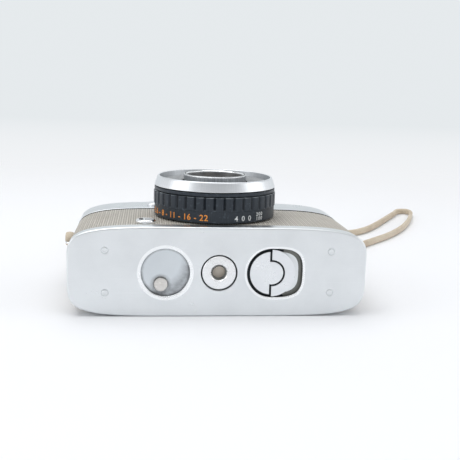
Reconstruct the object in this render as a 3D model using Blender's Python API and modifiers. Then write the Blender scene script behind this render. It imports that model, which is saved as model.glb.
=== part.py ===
"""Half frame camera lying on its back, built from its separate pieces.

The rear face rests on z = 0 and the lens axis points up along +Z. The base plate faces -Y,
the top cover faces +Y, and +X is the film cassette's side. All lengths are in metres.
"""
import math

import bmesh
import bpy
from mathutils import Matrix

MM = 0.001

# Overall body
BODY_WIDTH = 121 * MM
BODY_HEIGHT = 66 * MM
BODY_DEPTH = 36.8 * MM
WIDEST_DEPTH = 19.9 * MM      # depth above the rear face where the body is widest
FRONT_POWER = 5.0             # squareness of the front half of the plan outline
REAR_POWER = 5.6              # squareness of the rear half
OUTLINE_STEPS = 10            # points in a quarter of the plan outline
CLEARANCE = 0.3 * MM          # between neighbouring pieces
MERGE = 0.001 * MM            # points closer than this are one
SHEET = 0.8 * MM              # pressed chrome sheet
LEATHER = 0.8 * MM            # body covering

# Covers
BASE_LIP = 5.7 * MM
BASE_EDGE = 0.7 * MM
TOP_COVER_HEIGHT = 18.8 * MM
TOP_EDGE = 1.6 * MM
SIDE_SEAM = 17.0 * MM         # depth at which the rear cover meets the front body
BACK_SHEET = 0.8 * MM
BACK_TONGUE = 1.0 * MM        # how far the back plate reaches into the top cover

# Casting
CASTING_FLOOR_RISE = 4.5 * MM  # base face to casting floor
DECK_DROP = 12.3 * MM          # top face to the upper side of the deck
DECK = 1.5 * MM
FLOOR = 2.0 * MM
FILM_PLANE = 7.0 * MM
GATE_WIDTH = 18.6 * MM
GATE_HEIGHT = 24.6 * MM
CASSETTE_RADIUS = 13.0 * MM
CASSETTE_INSET = 17.2 * MM     # side of the body to the cassette's axis
CASSETTE_DEPTH = 17.5 * MM
TAKE_UP_RADIUS = 12.6 * MM
TAKE_UP_SPAN = 20.1 * MM       # sprocket axis to the take-up spool's axis
TAKE_UP_DEPTH = 15.4 * MM
THROAT_SIDE = 1.4 * MM         # how much narrower than its chamber a throat is, each side
POCKETS = ((11.2 * MM, 19.2 * MM, 9.0 * MM, 26.0 * MM),   # cored out from below:
           (20.7 * MM, 28.7 * MM, 9.0 * MM, 33.8 * MM),   # two x and two depths each
           (-27.5 * MM, -16.0 * MM, 22.0 * MM, 33.8 * MM))

# Base fittings, from the middle of the base
RIVET_X = 45.6 * MM
RIVET_DEPTHS = (9.95 * MM, 27.2 * MM)
RIVET_RADIUS = 1.25 * MM
DISH_X = -21.6 * MM
FITTING_DEPTH = 18.1 * MM
DISH_RADIUS = 9.8 * MM
DISH_DEPTH = 1.5 * MM
CUP_WALL = 0.6 * MM
BUSHING_RADIUS = 6.9 * MM
BUSHING_BORE = 3.0 * MM
BUSHING_GAP = 0.5 * MM
BUSHING_STUB = 5.5 * MM
BUSHING_DEPTH = 8.0 * MM
SPROCKET_X = -23.4 * MM
SPROCKET_DEPTH = 13.0 * MM
SPROCKET_RADIUS = 5.7 * MM
SPROCKET_TEETH = 8
SPROCKET_CHAMBER = 7.2 * MM
RELEASE_RADIUS = 2.8 * MM
KEY_X = 21.4 * MM
KEY_RECESS_RADIUS = 10.06 * MM
KEY_RECESS_REACH = 12.66 * MM  # squared end of the key's recess
KEY_RECESS_DEPTH = 1.7 * MM
KEY_MARGIN = 1.16 * MM         # recess wall to the key's disc
KEY_BOSS = 4.7 * MM
FLAP_MARGIN = 0.36 * MM        # recess wall to the flap
FLAP_THICKNESS = 0.5 * MM
SHAFT_RADIUS = 2.2 * MM
CAM_LOBE = 8.0 * MM

# Lens and shutter
LENS_Y = -1.6 * MM
BARREL_RADIUS = 26.0 * MM
KNURL_PROUD = 0.3 * MM
RING_HEIGHT = 10.4 * MM        # exposure ring
COLLAR_HEIGHT = 2.0 * MM       # plain black band over the ring
COLLAR_OVERLAP = 0.5 * MM
BEZEL_HEIGHT = 4.1 * MM
BEZEL_FOOT = 26.1 * MM
BEZEL_TOP = 24.4 * MM
BEZEL_BORE = 22.6 * MM
NOSE_RADIUS = 13.54 * MM
NOSE_PROUD = 0.8 * MM          # inner ring over the bezel
NOSE_WALL = 1.2 * MM
TUBE_OUTER = 23.0 * MM
TUBE_INNER = 20.4 * MM
HOUSING_RADIUS = 20.0 * MM
HOUSING_WALL = 1.7 * MM
REAR_NECK = 13.0 * MM
APERTURE = 4.0 * MM
BLADE_PIVOT = 11.0 * MM
LENS_RADIUS = 6.5 * MM
NOTCH_RADIUS = 22.5 * MM       # cut in the front covering under the barrel

# Front fittings
SYNC_X = -29.6 * MM
SYNC_Y = -22.3 * MM
SYNC_RADIUS = 4.1 * MM
SYNC_PROUD = 1.5 * MM
CAP_ANGLE = 138.22             # about the lens axis, in degrees
CAP_GAP = 3.63 * MM            # barrel to the cap's edge
CAP_RADIUS = 4.0 * MM
CAP_PROUD = 1.7 * MM

# Viewfinder, meter and top fittings
FINDER_X = 2.5 * MM
FINDER_WIDTH = 11.6 * MM
FINDER_HEIGHT = 5.6 * MM
FINDER_WALL = 0.5 * MM
EYEPIECE_RADIUS = 2.6 * MM
WHEEL_RADIUS = 15.0 * MM
WHEEL_THICKNESS = 3.5 * MM
WHEEL_NOTCH = 18.0 * MM
GEAR_THICKNESS = 1.2 * MM
WHEEL_TEETH = 24
PINION_TEETH = 18
COUNTER_RADIUS = 6.5 * MM
COUNTER_WINDOW = 4.9 * MM
BUTTON_X = -30.0 * MM
BUTTON_DEPTH = 21.0 * MM
BUTTON_RADIUS = 3.6 * MM
BUTTON_PROUD = 3.2 * MM
KNOB_RADIUS = 9.6 * MM
KNOB_HEIGHT = 2.6 * MM
CRANK_WIDTH = 4.0 * MM
CRANK_PIVOT = 5.5 * MM         # knob axis to the crank's pivot
CRANK_END = 6.0 * MM           # knob axis to the crank's own knob
METER_X = 22.5 * MM
METER_RADIUS = 6.0 * MM

# Strap
LUG_Y = 17.0 * MM
LUG_DEPTH = 20.0 * MM
LUG_RING = 2.2 * MM
LUG_WIRE = 0.55 * MM
STRAP_DIAMETER = 4.0 * MM
STRAP_REACH = 2.9 * MM         # side of the body to the middle of the strap at its lug

# Worked out from the sizes above
BASE_Y = -BODY_HEIGHT / 2
TOP_Y = BODY_HEIGHT / 2
LIP_Y = BASE_Y + BASE_LIP
SEAM_Y = TOP_Y - TOP_COVER_HEIGHT
FRONT_Z = BODY_DEPTH
PLATE_INSET = LEATHER + CLEARANCE
BACK_INNER = PLATE_INSET + BACK_SHEET
REAR_CAST_INSET = BACK_INNER + CLEARANCE
CAST_FLOOR_Y = BASE_Y + CASTING_FLOOR_RISE
DECK_Y = TOP_Y - DECK_DROP
CHAMBER_TOP = DECK_Y - DECK
CASSETTE_X = BODY_WIDTH / 2 - CASSETTE_INSET
TAKE_UP_X = SPROCKET_X - TAKE_UP_SPAN
KEY_RADIUS = KEY_RECESS_RADIUS - KEY_MARGIN
FLAP_RADIUS = KEY_RECESS_RADIUS - FLAP_MARGIN
CAP_REACH = BARREL_RADIUS + KNURL_PROUD + CAP_GAP + CAP_RADIUS
CAP_X = CAP_REACH * math.cos(math.radians(CAP_ANGLE))
CAP_Y = LENS_Y + CAP_REACH * math.sin(math.radians(CAP_ANGLE))
LINING_Y = BASE_Y + SHEET + CLEARANCE
LINING_TOP = LINING_Y + BACK_SHEET
CUP_FLOOR_Y = BASE_Y + KEY_RECESS_DEPTH
KEY_BASE_TOP = BASE_Y + 0.1 * MM + FLAP_THICKNESS + CLEARANCE
CAM_Y = BASE_Y + CASTING_FLOOR_RISE - 1.2 * MM
WHEEL_Y = DECK_Y + 0.6 * MM
GEAR_Y = WHEEL_Y + WHEEL_THICKNESS + CLEARANCE
RING_Z = FRONT_Z + 0.5 * MM
COLLAR_Z = RING_Z + RING_HEIGHT + CLEARANCE
BEZEL_Z = COLLAR_Z + COLLAR_HEIGHT - COLLAR_OVERLAP + CLEARANCE
BEZEL_TOP_Z = BEZEL_Z + BEZEL_HEIGHT
NOSE_TOP_Z = BEZEL_TOP_Z + NOSE_PROUD
TOP_INNER = TOP_Y - SHEET
FINDER_Y = TOP_INNER - CLEARANCE - FINDER_WALL - FINDER_HEIGHT / 2

PARTS = bpy.data.collections.new("half_frame_camera")
CUTTERS = bpy.data.collections.new("cutters")
MATERIALS = {}

FINISHES = {
    "satin_chrome": ((0.78, 0.79, 0.81), 0.28, 1.0),
    "bright_chrome": ((0.86, 0.87, 0.88), 0.12, 1.0),
    "black_metal": ((0.035, 0.038, 0.043), 0.42, 0.6),
    "cast_alloy": ((0.42, 0.43, 0.44), 0.5, 1.0),
    "covering": ((0.45, 0.43, 0.39), 0.6, 0.0),
    "brass": ((0.72, 0.56, 0.28), 0.35, 1.0),
    "glass": ((0.55, 0.6, 0.62), 0.05, 0.0),
    "black_plastic": ((0.03, 0.03, 0.03), 0.5, 0.0),
    "white_plastic": ((0.8, 0.8, 0.78), 0.45, 0.0),
    "cell": ((0.12, 0.1, 0.14), 0.4, 0.3),
    "strap_leather": ((0.72, 0.62, 0.47), 0.6, 0.0),
}


def finish(name):
    """The material of one finish, made once."""
    if name not in MATERIALS:
        colour, roughness, metallic = FINISHES[name]
        material = bpy.data.materials.new(name)
        material.use_nodes = True
        shader = material.node_tree.nodes["Principled BSDF"]
        shader.inputs["Base Color"].default_value = (*colour, 1)
        shader.inputs["Roughness"].default_value = roughness
        shader.inputs["Metallic"].default_value = metallic
        MATERIALS[name] = material
    return MATERIALS[name]


# ---------------------------------------------------------------- outlines

def super_point(angle, half_width, half_depth, power):
    """A point of a superellipse, a rounded rectangle with bowed sides."""
    c, s = math.cos(angle), math.sin(angle)
    x = math.copysign(abs(c) ** (2 / power), c) * half_width
    z = math.copysign(abs(s) ** (2 / power), s) * half_depth
    return x, z


def body_outline(inset):
    """The body's plan outline moved in by inset, with flats on all four sides."""
    step = math.pi / 2 / OUTLINE_STEPS
    points = []
    for k in range(4 * OUTLINE_STEPS):
        angle = (k + 0.5) * step
        front = angle < math.pi
        power = FRONT_POWER if front else REAR_POWER
        depth = FRONT_Z - WIDEST_DEPTH if front else WIDEST_DEPTH
        flat = math.cos(step / 2) ** (2 / power)
        x, z = super_point(angle, BODY_WIDTH / 2 - inset, depth - inset, power)
        points.append((x / flat, WIDEST_DEPTH + z / flat))
    return points


def half_width_at(z, inset):
    """Half the width of the inset outline at depth z."""
    rise = z - WIDEST_DEPTH
    power = FRONT_POWER if rise > 0 else REAR_POWER
    depth = (FRONT_Z - WIDEST_DEPTH if rise > 0 else WIDEST_DEPTH) - inset
    share = (1 - min(1.0, abs(rise) / depth) ** power) ** (1 / power)
    return min(share / math.cos(math.pi / 4 / OUTLINE_STEPS) ** (2 / power), 1.0) \
        * (BODY_WIDTH / 2 - inset)


def half_outline(inset, seam, front):
    """The open stretch of the outline in front of or behind the seam."""
    points = [p for p in body_outline(inset) if (p[1] > seam) == front]
    points.sort(key=lambda p: math.atan2(p[1] - seam, p[0]))
    edge = half_width_at(seam, inset)
    ends = [(edge, seam), (-edge, seam)]
    return [ends[0], *points, ends[1]] if front else [ends[1], *points, ends[0]]


def band(outer, inner, seam, front):
    """A closed U-shaped strip between two insets of the outline."""
    return half_outline(outer, seam, front) + half_outline(inner, seam, front)[::-1]


def arc(radius, x, z, start, end, steps):
    """Points of an arc between two angles in degrees."""
    return [(x + radius * math.cos(math.radians(start + (end - start) * k / steps)),
             z + radius * math.sin(math.radians(start + (end - start) * k / steps)))
            for k in range(steps + 1)]


def keyhole(x, z, radius, throat, low):
    """A round chamber with a straight throat down to the depth low."""
    start = math.degrees(math.acos(throat / radius))
    return arc(radius, x, z, -start, 180 + start, 20) + [(x - throat, low), (x + throat, low)]


def gear(teeth, module, phase, x, z, tip=0.8, root=1.0):
    """Trapezoid teeth with wide backlash; one tooth is centred on the angle phase."""
    pitch = 2 * math.pi / teeth
    points = []
    for k in range(teeth):
        centre = phase + k * pitch
        for share, height in ((-0.24, -root), (-0.1, tip), (0.1, tip), (0.24, -root)):
            radius = module * (teeth / 2 + height)
            angle = centre + share * pitch
            points.append((x + radius * math.cos(angle), z + radius * math.sin(angle)))
    return points


# ---------------------------------------------------------------- solids

def add(name, mesh, material):
    obj = bpy.data.objects.new(name, mesh)
    PARTS.objects.link(obj)
    if material:
        mesh.materials.clear()
        mesh.materials.append(finish(material))
    return obj


def smooth(mesh, angle=35):
    mesh.shade_smooth()
    mesh.set_sharp_from_angle(angle=math.radians(angle))


def outline_mesh(name, loops, thickness, fill="BOTH"):
    """Closed loops in the XY plane, filled and extruded by thickness about z = 0."""
    curve = bpy.data.curves.new(name, "CURVE")
    curve.dimensions = "2D"
    curve.fill_mode = fill
    curve.extrude = thickness / 2
    for loop in loops:
        spline = curve.splines.new("POLY")
        spline.points.add(len(loop) - 1)
        for point, (x, y) in zip(spline.points, loop):
            point.co = (x, y, 0, 1)
        spline.use_cyclic_u = True
    temp = bpy.data.objects.new(name + "_curve", curve)
    bpy.context.scene.collection.objects.link(temp)
    mesh = bpy.data.meshes.new_from_object(temp.evaluated_get(bpy.context.evaluated_depsgraph_get()))
    bpy.data.objects.remove(temp)
    weld(mesh)
    return mesh


def weld(mesh):
    bm = bmesh.new()
    bm.from_mesh(mesh)
    bmesh.ops.remove_doubles(bm, verts=bm.verts, dist=MERGE)
    bmesh.ops.dissolve_limit(bm, angle_limit=math.radians(0.5), verts=bm.verts, edges=bm.edges)
    bmesh.ops.recalc_face_normals(bm, faces=bm.faces)
    bm.to_mesh(mesh)
    bm.free()


def place(obj, origin):
    """Puts an object's origin on its joint's axis without moving its surface."""
    obj.data.transform(Matrix.Translation([-v for v in origin]))
    obj.location = origin
    return obj


def plate(name, loops, y0, y1, material=None, fill="BOTH"):
    """An outline in X and depth, standing between two heights of Y."""
    mesh = outline_mesh(name, loops, y1 - y0, fill)
    mesh.transform(Matrix.Translation((0, (y0 + y1) / 2, 0)) @ Matrix.Rotation(math.pi / 2, 4, "X"))
    smooth(mesh)
    return add(name, mesh, material)


def slab(name, loops, z0, z1, material=None):
    """An outline in X and Y, lying between two depths."""
    mesh = outline_mesh(name, loops, z1 - z0)
    mesh.transform(Matrix.Translation((0, 0, (z0 + z1) / 2)))
    smooth(mesh)
    return add(name, mesh, material)


def block(name, low, high, material=None):
    bm = bmesh.new()
    bmesh.ops.create_cube(bm, size=1)
    size = [b - a for a, b in zip(low, high)]
    middle = [(a + b) / 2 for a, b in zip(low, high)]
    bmesh.ops.transform(bm, verts=bm.verts,
                        matrix=Matrix.Translation(middle) @ Matrix.Diagonal((*size, 1)))
    mesh = bpy.data.meshes.new(name)
    bm.to_mesh(mesh)
    bm.free()
    return add(name, mesh, material)


def turned(name, profile, centre, axis, material, steps=32):
    """A profile of (radius, height) pairs, turned about Z or Y through centre.

    A profile that starts on the axis also ends there, and any other one is a closed loop.
    """
    count = len(profile)
    edges = [(k, k + 1) for k in range(count - 1)]
    if profile[0][0] > 0:
        edges.append((count - 1, 0))
    mesh = bpy.data.meshes.new(name)
    mesh.from_pydata([(r, 0, h) for r, h in profile], edges, [])
    obj = add(name, mesh, material)
    obj.location = centre
    if axis == "Y":
        obj.rotation_euler = (-math.pi / 2, 0, 0)
    screw = obj.modifiers.new("turn", "SCREW")
    screw.steps = steps
    screw.render_steps = steps
    screw.use_merge_vertices = True
    screw.merge_threshold = MERGE
    screw.use_smooth_shade = True
    return obj


def rod(name, radius, centre, axis, low, high, material=None, steps=24):
    """A plain cylinder along X, Y or Z between two coordinates."""
    bm = bmesh.new()
    bmesh.ops.create_cone(bm, cap_ends=True, segments=steps, radius1=radius, radius2=radius,
                          depth=high - low)
    turn = {"Z": Matrix.Identity(4), "Y": Matrix.Rotation(-math.pi / 2, 4, "X"),
            "X": Matrix.Rotation(math.pi / 2, 4, "Y")}[axis]
    middle = list(centre)
    middle["XYZ".index(axis)] = (low + high) / 2
    bmesh.ops.transform(bm, verts=bm.verts, matrix=Matrix.Translation(middle) @ turn)
    mesh = bpy.data.meshes.new(name)
    bm.to_mesh(mesh)
    bm.free()
    smooth(mesh)
    return add(name, mesh, material)


def boolean(target, tool, operation):
    if tool.name not in CUTTERS.objects:
        for collection in tool.users_collection:
            collection.objects.unlink(tool)
        CUTTERS.objects.link(tool)
    tool.hide_render = True
    tool.display_type = "WIRE"
    modifier = target.modifiers.new(tool.name, "BOOLEAN")
    modifier.operation = operation
    modifier.solver = "EXACT"
    modifier.object = tool
    return target


def cut(target, *tools):
    for tool in tools:
        boolean(target, tool, "DIFFERENCE")
    return target


def join(target, *tools):
    for tool in tools:
        boolean(target, tool, "UNION")
    return target


def shell(name, inset, y_open, y_closed, edge, segments, material):
    """A pressed cover: the outline drawn up from an open rim to a closed, round-edged face."""
    low, high = sorted((y_open, y_closed))
    fill = "BACK" if y_closed > y_open else "FRONT"
    cover = plate(name, [body_outline(inset)], low, high, material, fill=fill)
    bevel = cover.modifiers.new("edge", "BEVEL")
    bevel.width = edge
    bevel.segments = segments
    bevel.limit_method = "ANGLE"
    bevel.angle_limit = math.radians(60)
    solidify = cover.modifiers.new("sheet", "SOLIDIFY")
    solidify.thickness = SHEET
    solidify.offset = -1
    solidify.use_even_offset = True
    return cover


# ---------------------------------------------------------------- body

def make_casting():
    seam = SIDE_SEAM + CLEARANCE
    step = 0.5 * MM
    outline = (half_outline(PLATE_INSET, seam, True)
               + half_outline(REAR_CAST_INSET, seam - step, False))
    casting = plate("body_casting", [outline], CAST_FLOOR_Y, DECK_Y, "cast_alloy")
    far = BODY_WIDTH
    over = 5 * MM
    floor_top = CAST_FLOOR_Y + FLOOR
    cut(casting, block("cut_film_side", (-far, -far, -over), (far, far, FILM_PLANE)))

    def chamber(name, x, z, radius, y_low):
        cut(casting, plate("cut_" + name, [keyhole(x, z, radius, radius - THROAT_SIDE, -over)],
                           y_low, CHAMBER_TOP))

    chamber("cassette", CASSETTE_X, CASSETTE_DEPTH, CASSETTE_RADIUS, CAST_FLOOR_Y - over)
    chamber("take_up", TAKE_UP_X, TAKE_UP_DEPTH, TAKE_UP_RADIUS, floor_top)
    chamber("sprocket", SPROCKET_X, SPROCKET_DEPTH, SPROCKET_CHAMBER, floor_top)
    for index, (x0, x1, z0, z1) in enumerate(POCKETS):
        cut(casting, block("cut_pocket_" + str(index), (x0, -far, z0), (x1, CHAMBER_TOP, z1)))
    cut(casting,
        block("cut_gate", (-GATE_WIDTH / 2, LENS_Y - GATE_HEIGHT / 2, -over),
              (GATE_WIDTH / 2, LENS_Y + GATE_HEIGHT / 2, FRONT_Z - 8 * MM)),
        rod("cut_shutter_seat", REAR_NECK + CLEARANCE, (0, LENS_Y, 0), "Z",
            FRONT_Z - 9 * MM, FRONT_Z + over, steps=32),
        rod("cut_bushing_seat", BUSHING_STUB + CLEARANCE, (0, 0, FITTING_DEPTH), "Y",
            BASE_Y - over, BASE_Y + BUSHING_DEPTH + CLEARANCE),
        rod("cut_release_hole", RELEASE_RADIUS + CLEARANCE, (SPROCKET_X, 0, SPROCKET_DEPTH), "Y",
            BASE_Y - over, floor_top + 1 * MM, steps=16),
        rod("cut_fork_hole", SHAFT_RADIUS + CLEARANCE, (CASSETTE_X, 0, CASSETTE_DEPTH), "Y",
            CHAMBER_TOP - 1 * MM, DECK_Y + over, steps=16),
        rod("cut_sprocket_hole", SHAFT_RADIUS + CLEARANCE, (SPROCKET_X, 0, SPROCKET_DEPTH), "Y",
            CHAMBER_TOP - 1 * MM, DECK_Y + over, steps=16),
        rod("cut_spool_hole", SHAFT_RADIUS + CLEARANCE, (TAKE_UP_X, 0, TAKE_UP_DEPTH), "Y",
            CHAMBER_TOP - 1 * MM, DECK_Y + over, steps=16))


def make_front_covering():
    seam = SIDE_SEAM + CLEARANCE / 2
    leather = plate("front_leatherette", [band(0, LEATHER, seam, True)],
                    LIP_Y + CLEARANCE, SEAM_Y - CLEARANCE, "covering")
    cut(leather,
        rod("cut_barrel_notch", NOTCH_RADIUS, (0, LENS_Y, 0), "Z", FRONT_Z - 3 * MM,
            FRONT_Z + 3 * MM, steps=40),
        rod("cut_sync_hole", SYNC_RADIUS - 0.6 * MM, (SYNC_X, SYNC_Y, 0), "Z", FRONT_Z - 3 * MM,
            FRONT_Z + 3 * MM, steps=20))


def make_top_cover():
    cover = shell("top_cover", 0, SEAM_Y, TOP_Y, TOP_EDGE, 3, "satin_chrome")
    over = 3 * MM
    half = WHEEL_NOTCH / 2
    cut(cover,
        block("cut_finder_front",
              (FINDER_X - FINDER_WIDTH / 2, FINDER_Y - FINDER_HEIGHT / 2, FRONT_Z - over),
              (FINDER_X + FINDER_WIDTH / 2, FINDER_Y + FINDER_HEIGHT / 2, FRONT_Z + over)),
        rod("cut_finder_rear", EYEPIECE_RADIUS + CLEARANCE, (FINDER_X, FINDER_Y, 0), "Z",
            -over, over),
        rod("cut_counter", COUNTER_WINDOW + CLEARANCE, (TAKE_UP_X, 0, TAKE_UP_DEPTH), "Y",
            TOP_Y - over, TOP_Y + over),
        rod("cut_button", BUTTON_RADIUS + CLEARANCE, (BUTTON_X, 0, BUTTON_DEPTH), "Y",
            TOP_Y - over, TOP_Y + over),
        rod("cut_rewind", SHAFT_RADIUS + CLEARANCE, (CASSETTE_X, 0, CASSETTE_DEPTH), "Y",
            TOP_Y - over, TOP_Y + over, steps=16),
        block("cut_wheel_notch", (TAKE_UP_X - half, WHEEL_Y - CLEARANCE, -over),
              (TAKE_UP_X + half, WHEEL_Y + WHEEL_THICKNESS + CLEARANCE, 3 * MM)))


def make_bushing():
    inner_end = BASE_Y + BUSHING_DEPTH
    blind_end = inner_end - 1.5 * MM
    chamfer = 0.3 * MM
    turned("tripod_bushing",
                [(0, inner_end), (BUSHING_STUB, inner_end), (BUSHING_STUB, CAST_FLOOR_Y - CLEARANCE),
                 (BUSHING_RADIUS, CAST_FLOOR_Y - CLEARANCE), (BUSHING_RADIUS, BASE_Y + chamfer),
                 (BUSHING_RADIUS - chamfer, BASE_Y), (BUSHING_BORE + chamfer, BASE_Y),
                 (BUSHING_BORE, BASE_Y + chamfer), (BUSHING_BORE, blind_end), (0, blind_end)],
                (0, 0, FITTING_DEPTH), "Y", "bright_chrome", steps=24)


def make_front_fittings():
    z = FRONT_Z
    seat = z + CLEARANCE
    top = z + SYNC_PROUD
    turned("sync_terminal", [(SYNC_RADIUS - 0.4 * MM, top), (SYNC_RADIUS, top - 0.4 * MM),
                             (SYNC_RADIUS, seat), (1.5 * MM, seat), (1.5 * MM, top)],
           (SYNC_X, SYNC_Y, 0), "Z", "bright_chrome", steps=24)
    rod("sync_contact", 0.9 * MM, (SYNC_X, SYNC_Y, 0), "Z",
        z - LEATHER, top - 0.4 * MM, "brass", steps=12)
    crown = z + CAP_PROUD
    turned("front_cap", [(0, crown), (CAP_RADIUS * 0.6, crown - 0.15 * MM),
                              (CAP_RADIUS, crown - 0.7 * MM), (CAP_RADIUS, seat), (0, seat)],
                (CAP_X, CAP_Y, 0), "Z", "bright_chrome", steps=24)


# ---------------------------------------------------------------- lens and shutter

def make_lens():
    base = FRONT_Z + CLEARANCE
    collar_top = BEZEL_Z - CLEARANCE
    lens = (0, LENS_Y, 0)
    turned("barrel_tube",
           [(BARREL_RADIUS, collar_top), (BARREL_RADIUS, COLLAR_Z), (TUBE_OUTER, COLLAR_Z),
            (TUBE_OUTER, base), (TUBE_INNER, base), (TUBE_INNER, collar_top)],
           lens, "Z", "black_metal", steps=40)
    turned("front_bezel",
           [(BEZEL_TOP - 0.3 * MM, BEZEL_TOP_Z), (BEZEL_TOP, BEZEL_TOP_Z - 0.3 * MM),
            (BEZEL_FOOT, BEZEL_Z), (NOSE_RADIUS + 1 * MM, BEZEL_Z),
            (NOSE_RADIUS + 1 * MM, BEZEL_Z + 0.6 * MM), (BEZEL_BORE, BEZEL_Z + 0.6 * MM),
            (BEZEL_BORE + 0.6 * MM, BEZEL_TOP_Z)],
           lens, "Z", "satin_chrome", steps=40)
    cell_z = BEZEL_Z + 0.6 * MM + CLEARANCE
    turned("light_cell",
           [(BEZEL_BORE - 1 * MM, cell_z + 0.4 * MM), (BEZEL_BORE - 1 * MM, cell_z),
            (NOSE_RADIUS + 1.4 * MM, cell_z), (NOSE_RADIUS + 1.4 * MM, cell_z + 0.4 * MM)],
           lens, "Z", "cell", steps=24)
    window_z = cell_z + 0.4 * MM + CLEARANCE
    turned("cell_window",
           [(BEZEL_BORE - CLEARANCE, window_z + 0.6 * MM), (BEZEL_BORE - CLEARANCE, window_z),
            (NOSE_RADIUS + 0.5 * MM, window_z), (NOSE_RADIUS + 0.5 * MM, window_z + 0.6 * MM)],
           lens, "Z", "glass", steps=28)
    nose_base = COLLAR_Z
    bore = NOSE_RADIUS - NOSE_WALL
    turned("inner_ring",
           [(NOSE_RADIUS - 0.2 * MM, NOSE_TOP_Z), (NOSE_RADIUS, NOSE_TOP_Z - 0.2 * MM),
            (NOSE_RADIUS, nose_base), (LENS_RADIUS + CLEARANCE, nose_base),
            (LENS_RADIUS + CLEARANCE, nose_base + 1.6 * MM), (bore, NOSE_TOP_Z - 1.2 * MM),
            (bore, NOSE_TOP_Z)],
           lens, "Z", "bright_chrome", steps=32)
    glass_z = nose_base - 0.6 * MM
    turned("front_lens",
                [(0, glass_z + 2.6 * MM), (LENS_RADIUS * 0.6, glass_z + 2.3 * MM),
                 (LENS_RADIUS, glass_z + 1.4 * MM), (LENS_RADIUS, glass_z), (0, glass_z)],
                lens, "Z", "glass", steps=20)
    make_shutter(lens)


def make_shutter(lens):
    base = FRONT_Z + CLEARANCE
    top = COLLAR_Z - 1.2 * MM
    inner = HOUSING_RADIUS - HOUSING_WALL
    neck_z = FRONT_Z - 7.5 * MM
    aperture = APERTURE + 0.4 * MM
    floor = base + 1.0 * MM
    turned("shutter_housing",
           [(HOUSING_RADIUS, top), (HOUSING_RADIUS, base), (REAR_NECK, base),
            (REAR_NECK, neck_z), (REAR_NECK - 1.5 * MM, neck_z), (REAR_NECK - 1.5 * MM, base - 1 * MM),
            (aperture, base - 1 * MM), (aperture, floor), (inner, floor), (inner, top)],
           lens, "Z", "black_metal", steps=28)
    blade_z = floor + CLEARANCE
    thin = 0.3 * MM
    for index, side in enumerate((-1, 1)):
        x = side * BLADE_PIVOT
        reach = BLADE_PIVOT + APERTURE + 0.8 * MM
        half = APERTURE + 0.7 * MM
        blade = [(x, LENS_Y - 2 * MM), (x - side * 5 * MM, LENS_Y - half)]
        blade += [(x - side * (reach - half + half * math.sin(a)), LENS_Y - half * math.cos(a))
                  for a in [math.pi * k / 8 for k in range(9)]]
        blade += [(x - side * 5 * MM, LENS_Y + half), (x, LENS_Y + 2 * MM),
                  (x + side * 1.8 * MM, LENS_Y + 1 * MM), (x + side * 1.8 * MM, LENS_Y - 1 * MM)]
        low = blade_z + index * (thin + CLEARANCE)
        place(slab("shutter_blade_" + "ab"[index], [blade], low, low + thin, "black_metal"),
              (x, LENS_Y, low))
    front = blade_z + 2 * thin + 2 * CLEARANCE
    turned("shutter_plate",
           [(inner - CLEARANCE, front + 0.8 * MM), (inner - CLEARANCE, front),
            (aperture, front), (aperture, front + 0.8 * MM)],
           lens, "Z", "black_metal", steps=24)
    rear_z = neck_z + 1 * MM
    turned("rear_lens",
                [(0, rear_z + 4.0 * MM), (REAR_NECK - 1.5 * MM - CLEARANCE, rear_z + 4.0 * MM),
                 (REAR_NECK - 1.5 * MM - CLEARANCE, rear_z + 1.2 * MM),
                 (5 * MM, rear_z + 0.4 * MM), (0, rear_z)],
                lens, "Z", "glass", steps=20)


def make_exposure_ring():
    """The knurled ring round the barrel, turning about the lens axis."""
    bore = TUBE_OUTER + CLEARANCE
    knurl = BARREL_RADIUS + KNURL_PROUD
    top = RING_Z + RING_HEIGHT
    turned("exposure_ring",
           [(knurl, top), (knurl, RING_Z + 5.0 * MM), (BARREL_RADIUS, RING_Z + 4.6 * MM),
            (BARREL_RADIUS, RING_Z), (bore, RING_Z), (bore, top)],
           (0, LENS_Y, 0), "Z", "black_metal", steps=40)


# ---------------------------------------------------------------- viewfinder and meter

def make_viewfinder():
    y = FINDER_Y
    w, h, wall = FINDER_WIDTH / 2, FINDER_HEIGHT / 2, FINDER_WALL
    low = SHEET + CLEARANCE + 0.8 * MM
    high = FRONT_Z - SHEET - CLEARANCE
    outer = [(FINDER_X - w - wall, y - h - wall), (FINDER_X + w + wall, y - h - wall),
             (FINDER_X + w + wall, y + h + wall), (FINDER_X - w - wall, y + h + wall)]
    inner = [(FINDER_X - w, y - h), (FINDER_X + w, y - h), (FINDER_X + w, y + h),
             (FINDER_X - w, y + h)]
    slab("viewfinder_tube", [outer, inner], low, high, "black_plastic")
    g = CLEARANCE
    block("viewfinder_window", (FINDER_X - w + g, y - h + g, FRONT_Z - SHEET),
          (FINDER_X + w - g, y + h - g, FRONT_Z - 0.15 * MM), "glass")
    rod("eyepiece_window", EYEPIECE_RADIUS, (FINDER_X, y, 0), "Z", 0.15 * MM,
        SHEET + 0.3 * MM, "glass")


def make_meter():
    low = DECK_Y + CLEARANCE
    high = TOP_INNER - 2.0 * MM
    rod("meter_movement", METER_RADIUS, (METER_X, 0, FITTING_DEPTH), "Y", low, high,
        "black_plastic", steps=20)
    reach = METER_X - (FINDER_X + FINDER_WIDTH / 2 + FINDER_WALL) - 1.2 * MM
    pointer = [(METER_X + 1.2 * MM, FITTING_DEPTH - 1 * MM),
               (METER_X + 1.2 * MM, FITTING_DEPTH + 1 * MM),
               (METER_X - reach, FITTING_DEPTH + 0.3 * MM),
               (METER_X - reach, FITTING_DEPTH - 0.3 * MM)]
    place(plate("meter_needle", [pointer], high + CLEARANCE, high + CLEARANCE + 0.4 * MM,
                "white_plastic"),
          (METER_X, high + CLEARANCE, FITTING_DEPTH))


# ---------------------------------------------------------------- film transport

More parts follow.
